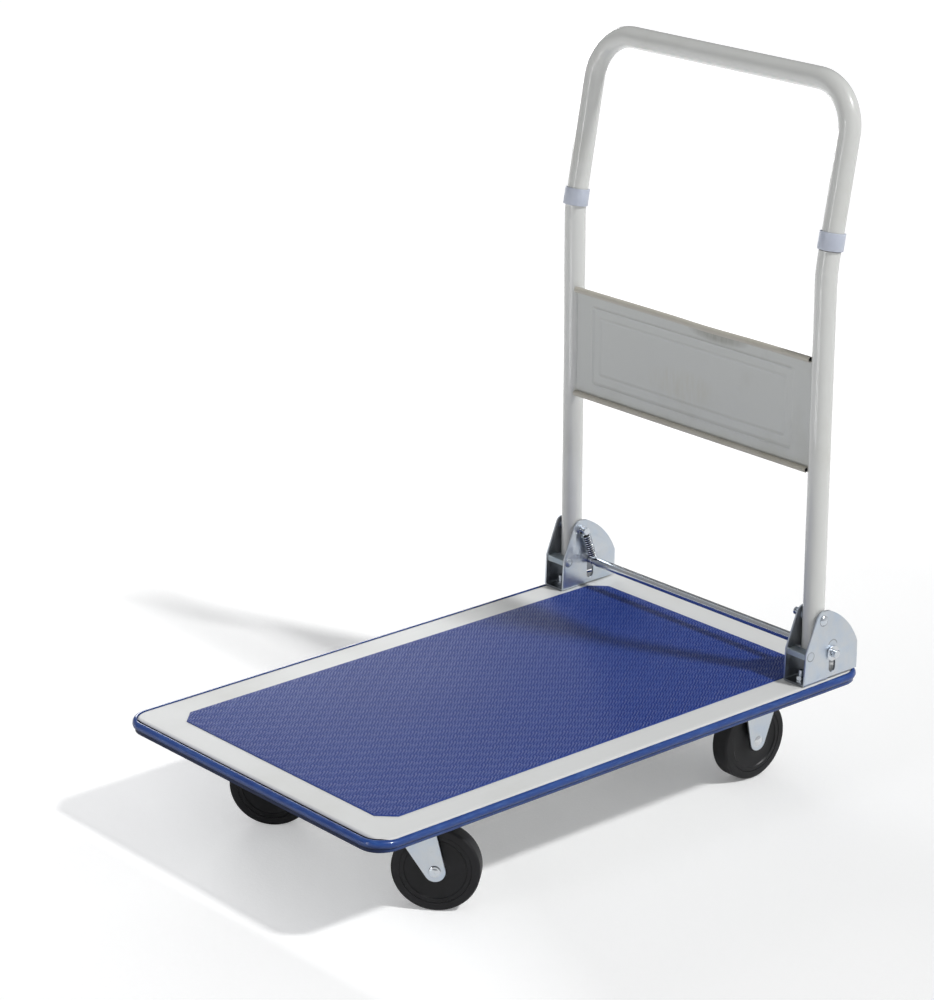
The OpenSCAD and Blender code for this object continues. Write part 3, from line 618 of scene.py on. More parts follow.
def round_the_deck(profile_at):
    """Rings of (outwards, up) points round the deck, as profile_at gives them for each place."""
    return [[place + outward * out + Vector((0, 0, PAN_TOP + rise))
             for out, rise in profile_at(i, place, outward)]
            for i, (place, outward) in enumerate(DECK_PATH)]


print("deck path:", len(DECK_PATH), "places")

# %% Pan
SHOULDER = 4 * MM
SHEET = 1.5 * MM
SKIRT = PAN_TOP - low("deck_pan").z


def pan_shape():
    outside = arc((-SHOULDER, -SHOULDER), SHOULDER, 90, 0, 10)
    inside = arc((-SHOULDER, -SHOULDER), SHOULDER - SHEET, 0, 90, 6)
    hem = 0.35 * MM
    profile = (outside + [(0, hem - SKIRT), (-hem, -SKIRT), (hem - SHEET, -SKIRT),
                          (-SHEET, hem - SKIRT)] + inside)
    points, faces = skin(round_the_deck(lambda *_: profile), closed_ring=False, closed_path=True)
    top = range(0, len(points), len(profile))
    under = range(len(points) - 1, 0, -len(profile))
    return points, faces + [tuple(top), tuple(under)]


piece("pan_shell", pan_shape(), DECK_ENAMEL, "deck", 40.0, ("deck_pan",))
dress(DECK_ENAMEL, "rib_left", "rib_right")

# %% [markdown]
# ## The bumper
#
# The bumper is an extruded vinyl strip with a half-round face and a lip that hooks under the
# skirt. It was pushed on by hand, so it is not perfectly straight: the sweep shifts in and out
# by a fraction of a millimetre along its way, which breaks up the long highlight. Along the
# front and the left it rides up over the pan's rounded edge, and the shade in the gap between
# the two is painted as a black band on the shoulder.

# %% Bumper
PROUD = high("bumper_strip").x - PAN_HALF.x
BUMPER_TOP = high("bumper_strip").z - PAN_TOP
BUMPER_FOOT = low("bumper_strip").z - PAN_TOP
LIP = 1.6 * MM
# How far the face's top stands above the construction's, its height, and what a lift adds.
STRIP_RISE = 0.9 * MM
STRIP_TALL = 8.6 * MM
LIFT_RISE = 1.4 * MM
LIFT_TALL = 1.3 * MM
LIFT_LEFT = 1.7
LIFT_REAR = 0.5
# The strip's waves: how many go round the deck, how far each goes in or out, where it starts.
WAVES = [(3, 0.05 * MM, 0.4), (7, 0.05 * MM, 1.9), (17, 0.04 * MM, 4.1)]


def clamped(value):
    return min(max(value, 0.0), 1.0)


def pushed_up(place, outward):
    """How far the strip rides up over the pan's edge: 1 at the front, more on the left, else 0."""
    front = clamped(-outward.y * 1.6)
    left = clamped(-outward.x * 1.6) * clamped(-place.x * 5)
    rear_corner = clamped((place.y - 0.25) / 0.08)
    return max(front, left * LIFT_LEFT, rear_corner * LIFT_REAR)


def bumper_profile(lift):
    """The half-round face, the neck below it, and the lip that hooks under the skirt."""
    top = BUMPER_TOP + STRIP_RISE + LIFT_RISE * lift
    tall = STRIP_TALL + LIFT_TALL * lift
    mid = top - tall / 2
    face = [(PROUD * math.cos(a) ** 0.8, mid + tall / 2 * math.sin(a))
            for a in np.linspace(math.pi / 2 - 0.02, 0.02 - math.pi / 2, 18)]
    neck, soft = PROUD * 0.42, 0.5 * MM
    foot, inside, behind = BUMPER_FOOT, BUMPER_FOOT + LIP, -SHEET - LIP
    hook = inside + 5 * MM
    return ([(0.0, top)] + face + [(neck, mid - tall / 2 - 0.2 * MM), (neck, foot + soft),
            (neck - soft, foot), (behind + soft, foot), (behind, foot + soft), (behind, hook),
            (-SHEET, hook), (-SHEET, inside), (0.0, inside)])


def strip_at(i, place, outward):
    """The strip's profile at one place, shifted in or out a little."""
    way = 2 * math.pi * i / len(DECK_PATH)
    shift = sum(size * (math.sin(turns * way + start) - 1) for turns, size, start in WAVES)
    return [(out + shift, rise) for out, rise in bumper_profile(pushed_up(place, outward))]


def gap_shade_at(_, place, outward):
    """A band of painted shade on the pan's rounded shoulder, where the gap looks dark; top is how
    far round it reaches.
    """
    lift = pushed_up(place, outward)
    top = 12 + 50 * lift if lift <= 1 else 62 - 60 * (lift - 1)
    return arc((-SHOULDER, -SHOULDER), SHOULDER + 0.06 * MM, 10, top, 6)


gap = skin(round_the_deck(gap_shade_at), closed_ring=False, closed_path=True)
piece("bumper_gap", gap, SHADE_BLACK, "deck", 60.0, ())
strip = skin(round_the_deck(strip_at), closed_path=True)
piece("bumper_bead", strip, BUMPER_VINYL, "deck", 50.0, ("bumper_strip",))

# %% [markdown]
# ## The ribbed mat
#
# The anti-slip mat carries a five-bar tread: small cells in a checkerboard, each with five
# short parallel ribs, turned one way in one cell and the mirrored way in the next. A bump map
# would look right from one side only, so the ribs are real: one low ridge is a patch of thirty
# points, and numpy lays thousands of copies of it over the sheet in one go. The shade in the
# grooves between the ribs is painted: dark strips are laid the same way, as lower ridges of a
# darker colour.

# %% Mat sheet
RIB_TALL = 0.5 * MM
MAT_CHAMFER = 18 * MM
MAT_BASE = MAT_TOP - RIB_TALL


def mat_outline(inset):
    """The mat's eight corners, anticlockwise; it was laid a little off the left edge."""
    x, y = MAT_HALF.x - inset, MAT_HALF.y - inset
    left = x - 2 * MM
    cut = MAT_CHAMFER - inset * 0.59
    return [(x - cut, -y), (x, cut - y), (x, y - cut), (x - cut, y),
            (cut - left, y), (-left, y - cut), (-left, cut - y), (cut - left, -y)]


MAT_EDGE = 0.3 * MM
levels = [(0.0, PAN_TOP), (0.0, MAT_BASE - MAT_EDGE), (MAT_EDGE * 0.3, MAT_BASE - MAT_EDGE * 0.3),
          (MAT_EDGE, MAT_BASE)]
sheet = skin([[Vector((x, y, z)) for x, y in mat_outline(inset)] for inset, z in levels])
piece("mat_sheet", sheet, MAT_RUBBER, "deck", 60.0, ("anti_slip_mat",))

# %% Mat ribs
CELL_X = 9.86 * MM
CELL_Y = 13.98 * MM
RIB_WIDE = 1.7 * MM
RIB_LEAN = math.radians(54.8)
RIB_ROWS = [(-4.83, -1.7, 8.6), (-1.61, -0.6, 13.6), (1.61, 0.6, 13.6), (4.83, 1.7, 8.6),
            (8.05, 2.87, 6.6)]
GROOVE_ROWS = [(-6.44, -2.3, 7.6), (-3.22, -1.1, 11.0), (0.0, 0.0, 14.4), (3.22, 1.1, 11.0),
               (6.44, 2.3, 7.6)]
MAT_MARGIN = 1.0 * MM


def cell_lines(rows, wanted, hand):
    """Lines in one kind of cell, leaning left or right; a row is (sideways, shift, length)."""
    lines = []
    across, along = int(MAT_HALF.x / CELL_X) + 1, int(MAT_HALF.y / CELL_Y) + 1
    for i in range(-across, across + 1):
        for j in range(-along, along + 1):
            if (i + j) % 2 != wanted:
                continue
            heading = np.array([hand * math.cos(RIB_LEAN), math.sin(RIB_LEAN)])
            sideways = np.array([math.sin(RIB_LEAN), -hand * math.cos(RIB_LEAN)]) * -hand
            centre = np.array([i * CELL_X, j * CELL_Y])
            for offset, shift, length in rows:
                middle_of = centre + (sideways * offset + heading * shift) * MM
                half = heading * length * MM / 2
                lines.append((middle_of - half, middle_of + half))
    return np.array(lines)


def clipped(lines):
    """Keeps what lies inside the mat's outline, side by side round the outline."""
    start, end = lines[:, 0].copy(), lines[:, 1].copy()
    corners = mat_outline(MAT_MARGIN)
    keep = np.ones(len(lines), bool)
    for (ax, ay), (bx, by) in zip(corners, corners[1:] + corners[:1]):
        inward = np.array([ay - by, bx - ax]) / math.hypot(bx - ax, by - ay)
        depth_a = (start - (ax, ay)) @ inward
        depth_b = (end - (ax, ay)) @ inward
        keep &= (depth_a > 0) | (depth_b > 0)
        change = np.where(depth_a == depth_b, 1, depth_a - depth_b)
        crossing = start + (end - start) * np.clip(depth_a / change, 0, 1)[:, None]
        start = np.where(depth_a[:, None] < 0, crossing, start)
        end = np.where(depth_b[:, None] < 0, crossing, end)
    long_enough = np.linalg.norm(end - start, axis=1) > RIB_WIDE * 0.8
    return start[keep & long_enough], end[keep & long_enough]


def lines_mesh(name, rows, wanted, hand, wide, tall):
    """One ridge for every line; a groove is a ridge with hardly any height."""
    start, end = clipped(cell_lines(rows, wanted, hand))
    heading = end - start
    length = np.linalg.norm(heading, axis=1, keepdims=True)
    heading = heading / length
    sideways = np.stack([-heading[:, 1], heading[:, 0]], axis=1)
    section = [(-0.5, 0.0), (-0.34, 0.8), (0.0, 1.0), (0.34, 0.8), (0.5, 0.0)]
    stations = [(0.0, 0.0, 0.45), (0.35, 0.85, 0.9), (0.7, 1.0, 1.0),
                (-0.7, 1.0, 1.0), (-0.35, 0.85, 0.9), (0.0, 0.0, 0.45)]
    blocks = []
    for inset, raised, narrowed in stations:
        base = start if inset > 0 or not blocks else end
        middle_of = base + heading * inset * MM
        for across, rise in section:
            flat = middle_of + sideways * across * narrowed * wide
            level = np.full((len(start), 1), MAT_BASE + tall * rise * raised)
            blocks.append(np.hstack([flat, level]))
    points = np.stack(blocks, axis=1).reshape(-1, 3)
    size, count = len(section), len(stations)
    one = [(r * size + c, r * size + c + 1, (r + 1) * size + c + 1, (r + 1) * size + c)
           for r in range(count - 1) for c in range(size - 1)]
    each = np.arange(len(start))[:, None, None] * size * count
    faces = (np.array(one)[None] + each).reshape(-1, 4)
    mesh = bpy.data.meshes.new(name)
    mesh.from_pydata(points.tolist(), [], faces.tolist())
    mesh.polygons.foreach_set("use_smooth", np.ones(len(faces), bool))
    print(name, len(start))
    return mesh


def mat_lines(name, rows, wanted, hand, finish, wide, tall):
    obj = bpy.data.objects.new(name, lines_mesh(name, rows, wanted, hand, wide, tall))
    bpy.context.collection.objects.link(obj)
    obj.data.materials.append(finish)
    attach(obj, "deck")


mat_lines("mat_ribs_a", RIB_ROWS, 0, -1, MAT_RUBBER, wide=RIB_WIDE, tall=RIB_TALL)
mat_lines("mat_ribs_b", RIB_ROWS, 1, 1, MAT_RUBBER, wide=RIB_WIDE, tall=RIB_TALL * 0.4)
# The grooves are strips of painted shade laid between the ribs.
mat_lines("mat_grooves_a", GROOVE_ROWS, 0, -1, GROOVE_SHADE, wide=2.0 * MM, tall=0.04 * MM)
mat_lines("mat_grooves_b", GROOVE_ROWS, 1, -1, GROOVE_SHADE, wide=1.6 * MM,
          tall=RIB_TALL * 0.52)

# %% [markdown]
# ## The handle
#
# Two straight uprights and one bow make the handle, all of 25 mm tube. The bow slips into the
# uprights just above a shallow backward bend, and each joint has a loose plastic collar. The
# left one hides its joint; the right one sits a little too high, so that the slot shows, with
# its shade painted black. The tubes follow their centre lines exactly, so the same few angles
# place the bends, the slots and the collars.

# %% Handle centre lines
LEAN = math.radians(10.6)
BEND_UP = 404 * MM
ARC_UP = 17 * MM
JOINT_UP = {-1: 17 * MM, 1: 24 * MM}
BOW_UP = 205.5 * MM
BOW_R = 55 * MM
BEND = PIVOT + Vector((0, 0, BEND_UP))
LEANING = Vector((0, math.sin(LEAN), math.cos(LEAN)))
WALL = 1.5 * MM
SIDES = (("left", -1), ("right", 1))


def on_bow(x, along):
    """A point in the bow's leaning plane, along it from the bend."""
    return Vector((x, 0, 0)) + BEND + LEANING * along


def upright_path(side):
    x = side * UPRIGHT_X
    turn_r = ARC_UP / math.tan(LEAN / 2)
    start = BEND.z - ARC_UP
    foot = Vector((x, PIVOT.y, low("upright_right").z))
    path = [foot, foot.lerp(Vector((x, PIVOT.y, start)), 0.5)]
    for i in range(13):
        angle = LEAN * i / 12
        path.append(Vector((x, PIVOT.y + turn_r * (1 - math.cos(angle)),
                            start + turn_r * math.sin(angle))))
    if JOINT_UP[side] > ARC_UP:
        path.append(on_bow(x, JOINT_UP[side]))
    return path


def bow_path():
    leg = BOW_UP - BOW_R
    inner = UPRIGHT_X - BOW_R
    path = [on_bow(-UPRIGHT_X, JOINT_UP[-1] + 0.6 * MM), on_bow(-UPRIGHT_X, leg * 0.6)]
    path += [on_bow(x, along) for x, along in arc((-inner, leg), BOW_R, 180, 90, 20)]
    path += [on_bow(0, BOW_UP)]
    path += [on_bow(x, along) for x, along in arc((inner, leg), BOW_R, 90, 0, 20)]
    path += [on_bow(UPRIGHT_X, leg * 0.6), on_bow(UPRIGHT_X, JOINT_UP[1] + 0.6 * MM)]
    return path


# %% Uprights and bow
def enamelled(name, shape, replaces=()):
    piece(name, shape, HANDLE_ENAMEL, "handle", 40.0, replaces)


def open_foot(side):
    """The tube's open lower end: the thickness of its wall, and the bore behind it."""
    inner, deep = TUBE_R - WALL, 60 * MM
    profile = [(0.0, TUBE_R), (0.0, inner), (deep, inner), (deep, 0.0)]
    return turned(profile, upright_path(side)[0], (0, 0, 1), 48)


def joint_slot_shade(side):
    """Painted shade in the slot where bow and upright meet: a black spigot, a little smaller than
    the tubes.
    """
    path = [on_bow(side * UPRIGHT_X, JOINT_UP[side] + along) for along in (-1.2 * MM, 1.8 * MM)]
    return tube_along(path, TUBE_R - 0.9 * MM, 40)


for name, side in SIDES:
    tube = tube_along(upright_path(side), TUBE_R, 48, capped=False)
    enamelled(f"upright_{name}_tube", tube, ("upright_" + name,))
    enamelled(f"upright_{name}_bore", open_foot(side))
enamelled("bow_tube", tube_along(bow_path(), TUBE_R, 48), ("handle_bow",))
for name, side in SIDES:
    piece("joint_slot_" + name, joint_slot_shade(side), SHADE_BLACK, "handle")

# %% Collars
COLLAR_LONG = 20 * MM
COLLAR_WALL = 2.2 * MM
COLLAR_STARTS = {"left": -0.5 * MM, "right": 25 * MM}


def collar(start):
    """A ring with softened edges, standing at start on the leaning tube."""
    outer, inner = TUBE_R + COLLAR_WALL, TUBE_R + 0.35 * MM
    soft, end = 0.5 * MM, COLLAR_LONG
    profile = [(soft, outer), (end - soft, outer), (end - soft * 0.3, outer - soft * 0.3),
               (end, outer - soft), (end, inner + soft * 0.6),
               (end - soft * 0.6, inner), (soft * 0.6, inner), (0.0, inner + soft * 0.6),
               (0.0, outer - soft), (soft * 0.3, outer - soft * 0.3)]
    return turned(profile, start, LEANING, 72, closed=True)


for name, side in SIDES:
    ring = collar(on_bow(side * UPRIGHT_X, COLLAR_STARTS[name]))
    piece("collar_ring_" + name, ring, COLLAR_PLASTIC, "handle", 40.0, ("collar_" + name,))

# %% [markdown]
# ## The back panel
#
# The panel is thin sheet. Its long edges are rolled into open curls, and two shallow
# rectangular ridges are pressed into its face to stop it drumming. The face is a fine grid
# whose depth comes from a formula: the distance to each rectangle makes the ridge, a soft fold
# runs under the top curl, and a shallow dent sits right of the middle where something once
# struck it.

# %% Panel face
PANEL_LOW = low("back_panel")
PANEL_HIGH = high("back_panel")
CURL_R = (PANEL_HIGH.y - PANEL_LOW.y) / 2
PANEL_SHEET = 1.2 * MM
PANEL_Y = PANEL_HIGH.y - PANEL_SHEET
PANEL_MIDDLE = (PANEL_LOW.z + PANEL_HIGH.z) / 2
# Pressed ridges: distance from the panel's ends, from its rolled edges, and height.
RIDGES = [(27 * MM, 21 * MM, 1.3 * MM), (38 * MM, 33 * MM, 1.1 * MM)]
RIDGE_WIDE = 2.2 * MM
DENT_X = 30 * MM
DENT_HALF = 50 * MM
DENT_DEEP = 1.0 * MM


def rectangle_distance(x, z, half_x, half_z, corner):
    """Distance to the outline of a rectangle with rounded corners, negative inside it."""
    qx, qz = abs(x) - half_x + corner, abs(z) - half_z + corner
    outside = math.hypot(max(qx, 0), max(qz, 0))
    return outside + min(max(qx, qz), 0) - corner


def panel_depth(x, z):
    """How far the face stands forward at a point measured from the panel's middle."""
    half_x = PANEL_HIGH.x
    half_z = (PANEL_HIGH.z - PANEL_LOW.z) / 2
    depth = 0.0
    for end, edge, rise in RIDGES:
        gap = rectangle_distance(x, z, half_x - end, half_z - edge, 3 * MM)
        depth += rise * math.exp(-((gap / RIDGE_WIDE * 1.9) ** 2))
        depth -= rise * 0.5 * (0.5 - 0.5 * math.tanh(gap / (0.7 * MM)))
    fold = (half_z - 12 * MM - z) / (3.5 * MM)
    depth += 0.5 * MM * (0.5 - 0.5 * math.tanh(fold))
    dent = ((x - DENT_X) / DENT_HALF) ** 2 + ((z - half_z + 8 * MM) / (12 * MM)) ** 2
    return depth - DENT_DEEP * math.exp(-dent)


def panel_face():
    """The front as a grid of points, the same grid again behind it, and a rim between them."""
    bottom, top = PANEL_LOW.z + CURL_R, PANEL_HIGH.z - CURL_R
    columns = int(2 * PANEL_HIGH.x / (1.6 * MM))
    rows = int((top - bottom) / (1.3 * MM))
    grid = []
    for j in range(rows + 1):
        z = bottom + (top - bottom) * j / rows
        across = [-PANEL_HIGH.x + 2 * PANEL_HIGH.x * i / columns for i in range(columns + 1)]
        grid.append([(x, PANEL_Y - panel_depth(x, z - PANEL_MIDDLE), z) for x in across])
    front, faces = skin(grid, closed_ring=False, capped=False)
    rear = [(x, y + PANEL_SHEET * 0.8, z) for x, y, z in front]
    shift, width = len(front), columns + 1
    faces += [tuple(shift + v for v in reversed(quad)) for quad in faces]
    rim = (list(range(width)) + [j * width + columns for j in range(1, rows + 1)]
           + [rows * width + i for i in range(columns - 1, -1, -1)]
           + [j * width for j in range(rows - 1, 0, -1)])
    faces += [(b, a, shift + a, shift + b) for a, b in zip(rim, rim[1:] + rim[:1])]
    return front + rear, faces


piece("panel_face", panel_face(), PANEL_ENAMEL, "handle", 50.0, ("back_panel",))


# %% Panel curls
def panel_curl(name, centre_z, start, end):
    """An open roll of sheet; start and end are its angles in degrees about its middle."""
    centre_y = PANEL_LOW.y + CURL_R
    outside = arc((centre_y, centre_z), CURL_R, start, end, 28)
    inside = arc((centre_y, centre_z), CURL_R - PANEL_SHEET, end, start, 28)
    knocked = 0.9 * MM if centre_z > PANEL_MIDDLE else 0.0
    spans = 60
    rings = []
    for i in range(spans + 1):
        x = -PANEL_HIGH.x + 2 * PANEL_HIGH.x * i / spans
        bent = knocked * math.exp(-(((x - DENT_X) / DENT_HALF) ** 2))
        rings.append([Vector((x, y, z - bent)) for y, z in outside + inside])
    piece(name, skin(rings), HEM_ENAMEL, "handle", 40.0, ())


def curl_ends():
    """Painted shade: dark discs in the rolls' open ends, where their insides are in shade."""
    inside = CURL_R - 0.5 * MM
    discs = []
    for side in (1, -1):
        for z in (PANEL_HIGH.z - CURL_R, PANEL_LOW.z + CURL_R):
            seat = Vector((side * (PANEL_HIGH.x - 0.5 * MM), PANEL_LOW.y + CURL_R, z))
            discs.append(turned([(0.0, 0.0), (0.0, inside), (-4 * MM, inside)], seat,
                                (side, 0, 0), 24))
    return joined(discs)


panel_curl("panel_curl_top", PANEL_HIGH.z - CURL_R, 60, -265)
panel_curl("panel_curl_bottom", PANEL_LOW.z + CURL_R, -60, 265)
piece("curl_ends", curl_ends(), SHADE_BLACK, "handle", 40.0, ())

# %% [markdown]
# ## Hinge brackets
#
# Each upright stands in a folded steel bracket. The plates come straight from the construction
# with their edges softened. A stop strap is riveted across the front, two bolts hold the base
# down, and the domed head of the pivot pin shows on the outside.

# %% Brackets, straps and rivets
for name in ("left", "right"):
    softened("bracket_" + name, BRACKET_ZINC, "deck", 0.35 * MM)
    softened("stop_strap_" + name, STRAP_ZINC, "deck", 0.3 * MM)
    softened("pivot_pin_" + name, BRIGHT_ZINC, "deck", 0.2 * MM, sharp=50.0)
softened("strap_rivets", ZINC, "deck", 0.15 * MM, sharp=50.0)
dress(ZINC, "pivot_bush_left", "pivot_bush_right")


# %% Dark rings of painted shade where the heads meet the plates
def contact_rings():
    """Painted contact shade: every riveted head stands on a thin dark disc."""
    half = (high("bracket_right").x - low("bracket_right").x) / 2
    rivet, pin = middle("strap_rivets"), PIVOT
    rivet_r = (high("strap_rivets").z - low("strap_rivets").z) / 2
    pin_r = (high("pivot_pin_right").z - low("pivot_pin_right").z) / 2
    discs = []
    for side in (-1, 1):
        for end, at, radius in ((-1, rivet, rivet_r), (1, rivet, rivet_r), (side, pin, pin_r)):
            seat = Vector((side * UPRIGHT_X + end * half, at.y, at.z - 0.3 * MM))
            edge, thick = radius + 0.3 * MM, 0.12 * MM
            disc = [(0.0, 0.0), (0.0, edge), (thick, edge), (thick, 0.0)]
            discs.append(turned(disc, seat, (end, 0, 0), 40))
    return joined(discs)


piece("contact_rings", contact_rings(), DARK_STEEL, "deck", 40.0, ())

# %% [markdown]
# Nuts and bolt ends are small, but they sit right at the front of each bracket. A nut is a
# hexagon whose corners are cut by a cone, which gives it the curved chamfers that read as a nut
# even when it is seen small. A bolt's end is turned from a zigzag, one tooth for each turn of
# its thread.

# %% Nuts and threads
def chamfered_nut(centre, across_flats, thick, bore_r, turn_by):
    """A nut standing on centre, with its axis up."""
    half, steps = across_flats / 2, 72
    rings = []
    for i in range(steps):
        angle = 2 * math.pi * i / steps
        flat = half / math.cos((angle + math.pi / 6) % (math.pi / 3) - math.pi / 6)
        cut = max(flat - half * 0.98, 0) * 0.55
        outward = Vector((math.cos(angle + turn_by), math.sin(angle + turn_by), 0))
        levels = [(bore_r, 0.0), (half * 0.9, 0.0), (flat, cut), (flat, thick - cut),
                  (half * 0.9, thick), (bore_r * 1.12, thick), (bore_r, thick - bore_r * 0.12)]
        rings.append([centre + outward * r + Vector((0, 0, z)) for r, z in levels])
    return skin(rings, closed_path=True)


def threaded_end(centre, radius, length, pitch):
    """A bolt's threaded stretch, standing on centre, with a chamfered tip."""
    teeth = int(length / pitch)
    profile = [(0.0, 0.0), (0.0, radius * 0.86)]
    for i in range(teeth):
        profile += [((i + 0.5) * pitch, radius), ((i + 1) * pitch, radius * 0.86)]
    profile += [(length, radius * 0.7), (length, 0.0)]
    return turned(profile, centre, (0, 0, 1), 32)


# %% Bracket bolts and nuts
NUT_FLATS = 10 * MM
BOLT_R = 3 * MM


def bracket_fasteners():
    nut_low, nut_high = low("bracket_nuts").z, high("bracket_nuts").z
    tip = high("bracket_bolts").z
    rows = [low("bracket_nuts").y + NUT_FLATS / 2, high("bracket_nuts").y - NUT_FLATS / 2]
    nuts, ends = [], []
    for i, x in enumerate((-UPRIGHT_X, UPRIGHT_X)):
        for j, y in enumerate(rows):
            seat = Vector((x, y, nut_low))
            nuts.append(chamfered_nut(seat, NUT_FLATS, nut_high - nut_low, BOLT_R * 0.97,
                                      0.3 + 0.5 * i + 0.35 * j))
            ends.append(threaded_end(seat, BOLT_R * 0.99, tip - nut_low, 1.0 * MM))
    piece("base_nuts", joined(nuts), BRIGHT_ZINC, "deck", 25.0, ("bracket_nuts",))
    piece("base_threads", joined(ends), DARK_STEEL, "deck", 25.0, ())


bracket_fasteners()
dress(ZINC, "bracket_bolts")

# %% [markdown]
# ## The lock bar
#
# The foot-pressed bar runs right across in slots in the brackets. Outside each bracket it
# carries a washer and a split pin, whose two legs are bent apart. Two wound springs pull the
# bar up: each hooks over the grooved end of a pivot pin and under the bar, and a black core
# inside each paints the shade between its turns.

# %% Bar, washers and split pins
dress(BRIGHT_ZINC, "lock_rod", "rod_sleeve")
softened("rod_washers", BRIGHT_ZINC, "lock_bar", 0.25 * MM, sharp=50.0)

PIN_WIRE = 1.0 * MM
PIN_X = (low("rod_cotters").x + 3.3 * MM, high("rod_cotters").x - 3.3 * MM)
# Places along a leg: sideways in wires, then along and up in millimetres.
PIN_LEG = [(0.5, 5.0, 0.0), (0.5, -5.2, 0.0), (0.6, -6.6, 1.2), (0.6, -7.4, 4.0), (0.6, -7.0, 6.4)]
EYE_R = 2.1 * MM
EYE_BEHIND = 8.2 * MM


def split_pin(x):
    """The eye behind the bar, two half legs through it, and their ends bent apart."""
    legs = [[Vector((x + leg * PIN_WIRE * apart, ROD.y + along * MM, ROD.z + leg * bent * MM))
             for apart, along, bent in PIN_LEG] for leg in (1, -1)]
    loop = [Vector((x + EYE_R * math.sin(a), ROD.y + EYE_BEHIND - EYE_R * math.cos(a), ROD.z))
            for a in np.linspace(math.radians(24), math.radians(336), 20)]
    return tube_along(legs[0][::-1] + loop + legs[1], PIN_WIRE, 10)


piece("split_pins", joined([split_pin(x) for x in PIN_X]), BRIGHT_ZINC, "lock_bar", 40.0,
      ("rod_cotters",))


# %% Springs
SPRING_WIRE = 0.7 * MM
COIL_R = 4.8 * MM
COIL_TURNS = 10
TURN_STEPS = 16
PIN_NECK_R = 3.0 * MM
BAR_R = (high("lock_rod").z - low("lock_rod").z) / 2


def wound(top, bottom):
    """The spring's wire: a hook over the pin, the turns, and a hook under the bar."""
    down = (bottom - top).normalized()
    across = Vector((1, 0, 0))
    ahead = across.cross(down)
    top_r, low_r = PIN_NECK_R + SPRING_WIRE, BAR_R + SPRING_WIRE + 0.2 * MM
    hook = np.linspace(math.radians(-150), math.radians(90), 18)
    path = [top + ahead * top_r * math.sin(a) - down * top_r * math.cos(a) for a in hook]
    path += [top + down * (top_r + 0.8 * MM) + ahead * COIL_R * 0.9]
    begin, end = top_r + 3.2 * MM, (bottom - top).length - low_r - 3.2 * MM
    for i in range(COIL_TURNS * TURN_STEPS + 1):
        angle = 2 * math.pi * i / TURN_STEPS
        way = i / (COIL_TURNS * TURN_STEPS)
        path.append(top + down * (begin + (end - begin) * way)
                    + ahead * COIL_R * math.cos(angle) + across * COIL_R * math.sin(angle))
    path += [bottom - down * (low_r + 0.8 * MM) + ahead * COIL_R * 0.9]
    path += [bottom + ahead * low_r * math.sin(a) + down * low_r * math.cos(a)
             for a in hook[::-1]]
    return tube_along(path, SPRING_WIRE, 10)


def wound_inside_shade(top, bottom):
    """Painted shade: a dark core inside a wound spring, seen between its turns."""
    down = (bottom - top).normalized()
    path = [top + down * 8 * MM, bottom - down * 8 * MM]
    return tube_along(path, COIL_R - 0.9 * MM, 20)


def stretched_between(obj):
    """Bakes the piece's place into its mesh; the piece rides on no body, so it does not follow the
    bar.
    """
    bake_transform(obj)


for name in ("left", "right"):
    x = middle("spring_" + name).x
    ends = Vector((x, PIVOT.y, PIVOT.z)), Vector((x, ROD.y, ROD.z))
    coil = piece("coil_" + name, wound(*ends), BRIGHT_ZINC, None, 60.0, ("spring_" + name,))
    stretched_between(coil)
    inside = piece("coil_inside_" + name, wound_inside_shade(*ends), SHADE_BLACK, None, 60.0, ())
    stretched_between(inside)

# %% [markdown]
# ## Casters
#
# Four black wheels carry the cart: two in swivelling forks at the front, two in fixed ones
# behind. A wheel is turned from two outlines: a flat tread with rounded shoulders, and a hub
# with a rim, a slightly hollow web and a boss that meets the fork. A fine groove is left
# between the two.

# %% Wheels
WHEEL_R = JOINTS["rear_wheel_spin_left"]["pos_m"][2]
TREAD_HALF = 11.5 * MM
HUB_HALF = 13 * MM
GROOVE_R = 40 * MM


def with_mirror(side):
    """One side of a wheel's outline and the other, which mirrors it."""
    return side + [(-along, r) for along, r in reversed(side) if along > 0]


def tread_profile():
    half, shoulder = TREAD_HALF, 3.2 * MM
    side = [(half, GROOVE_R - 1.2 * MM), (half, WHEEL_R - shoulder)]
    side += [(half - shoulder + a, WHEEL_R - shoulder + b)
             for a, b in arc((0, 0), shoulder, 10, 75, 7)]
    side += [(half * way, WHEEL_R - 0.25 * MM * way * way) for way in (0.6, 0.3, 0.0)]
    return with_mirror(side)


def hub_profile():
    boss, web = 13 * MM, 9.6 * MM
    rim = TREAD_HALF - 0.4 * MM
    return with_mirror([
        (HUB_HALF, 7.0 * MM), (HUB_HALF, boss - 0.8 * MM), (HUB_HALF - 0.8 * MM, boss),
        (web + 1.0 * MM, boss + 1.2 * MM), (web, boss + 3.5 * MM), (web, 31.5 * MM),
        (web + 0.3 * MM, 33.0 * MM), (rim, 34.2 * MM), (rim, GROOVE_R - 1.6 * MM),
        (rim - 0.8 * MM, GROOVE_R - 1.2 * MM), (rim - 0.8 * MM, GROOVE_R - 0.9 * MM)])


for name in ("front_wheel_left", "front_wheel_right", "rear_wheel_left", "rear_wheel_right"):
    joint = JOINTS[name.replace("_wheel_", "_wheel_spin_")]
    seat = joint["pos_m"], joint["axis"]
    piece("tread_" + name, turned(tread_profile(), *seat, 128, closed=True), TREAD_RUBBER, name,
          40.0, (name.replace("_wheel", "_tyre"),))
    piece("hub_" + name, turned(hub_profile(), *seat, 128, closed=True), HUB_PLASTIC, name,
          30.0, (name.replace("_wheel", "_hub"),))

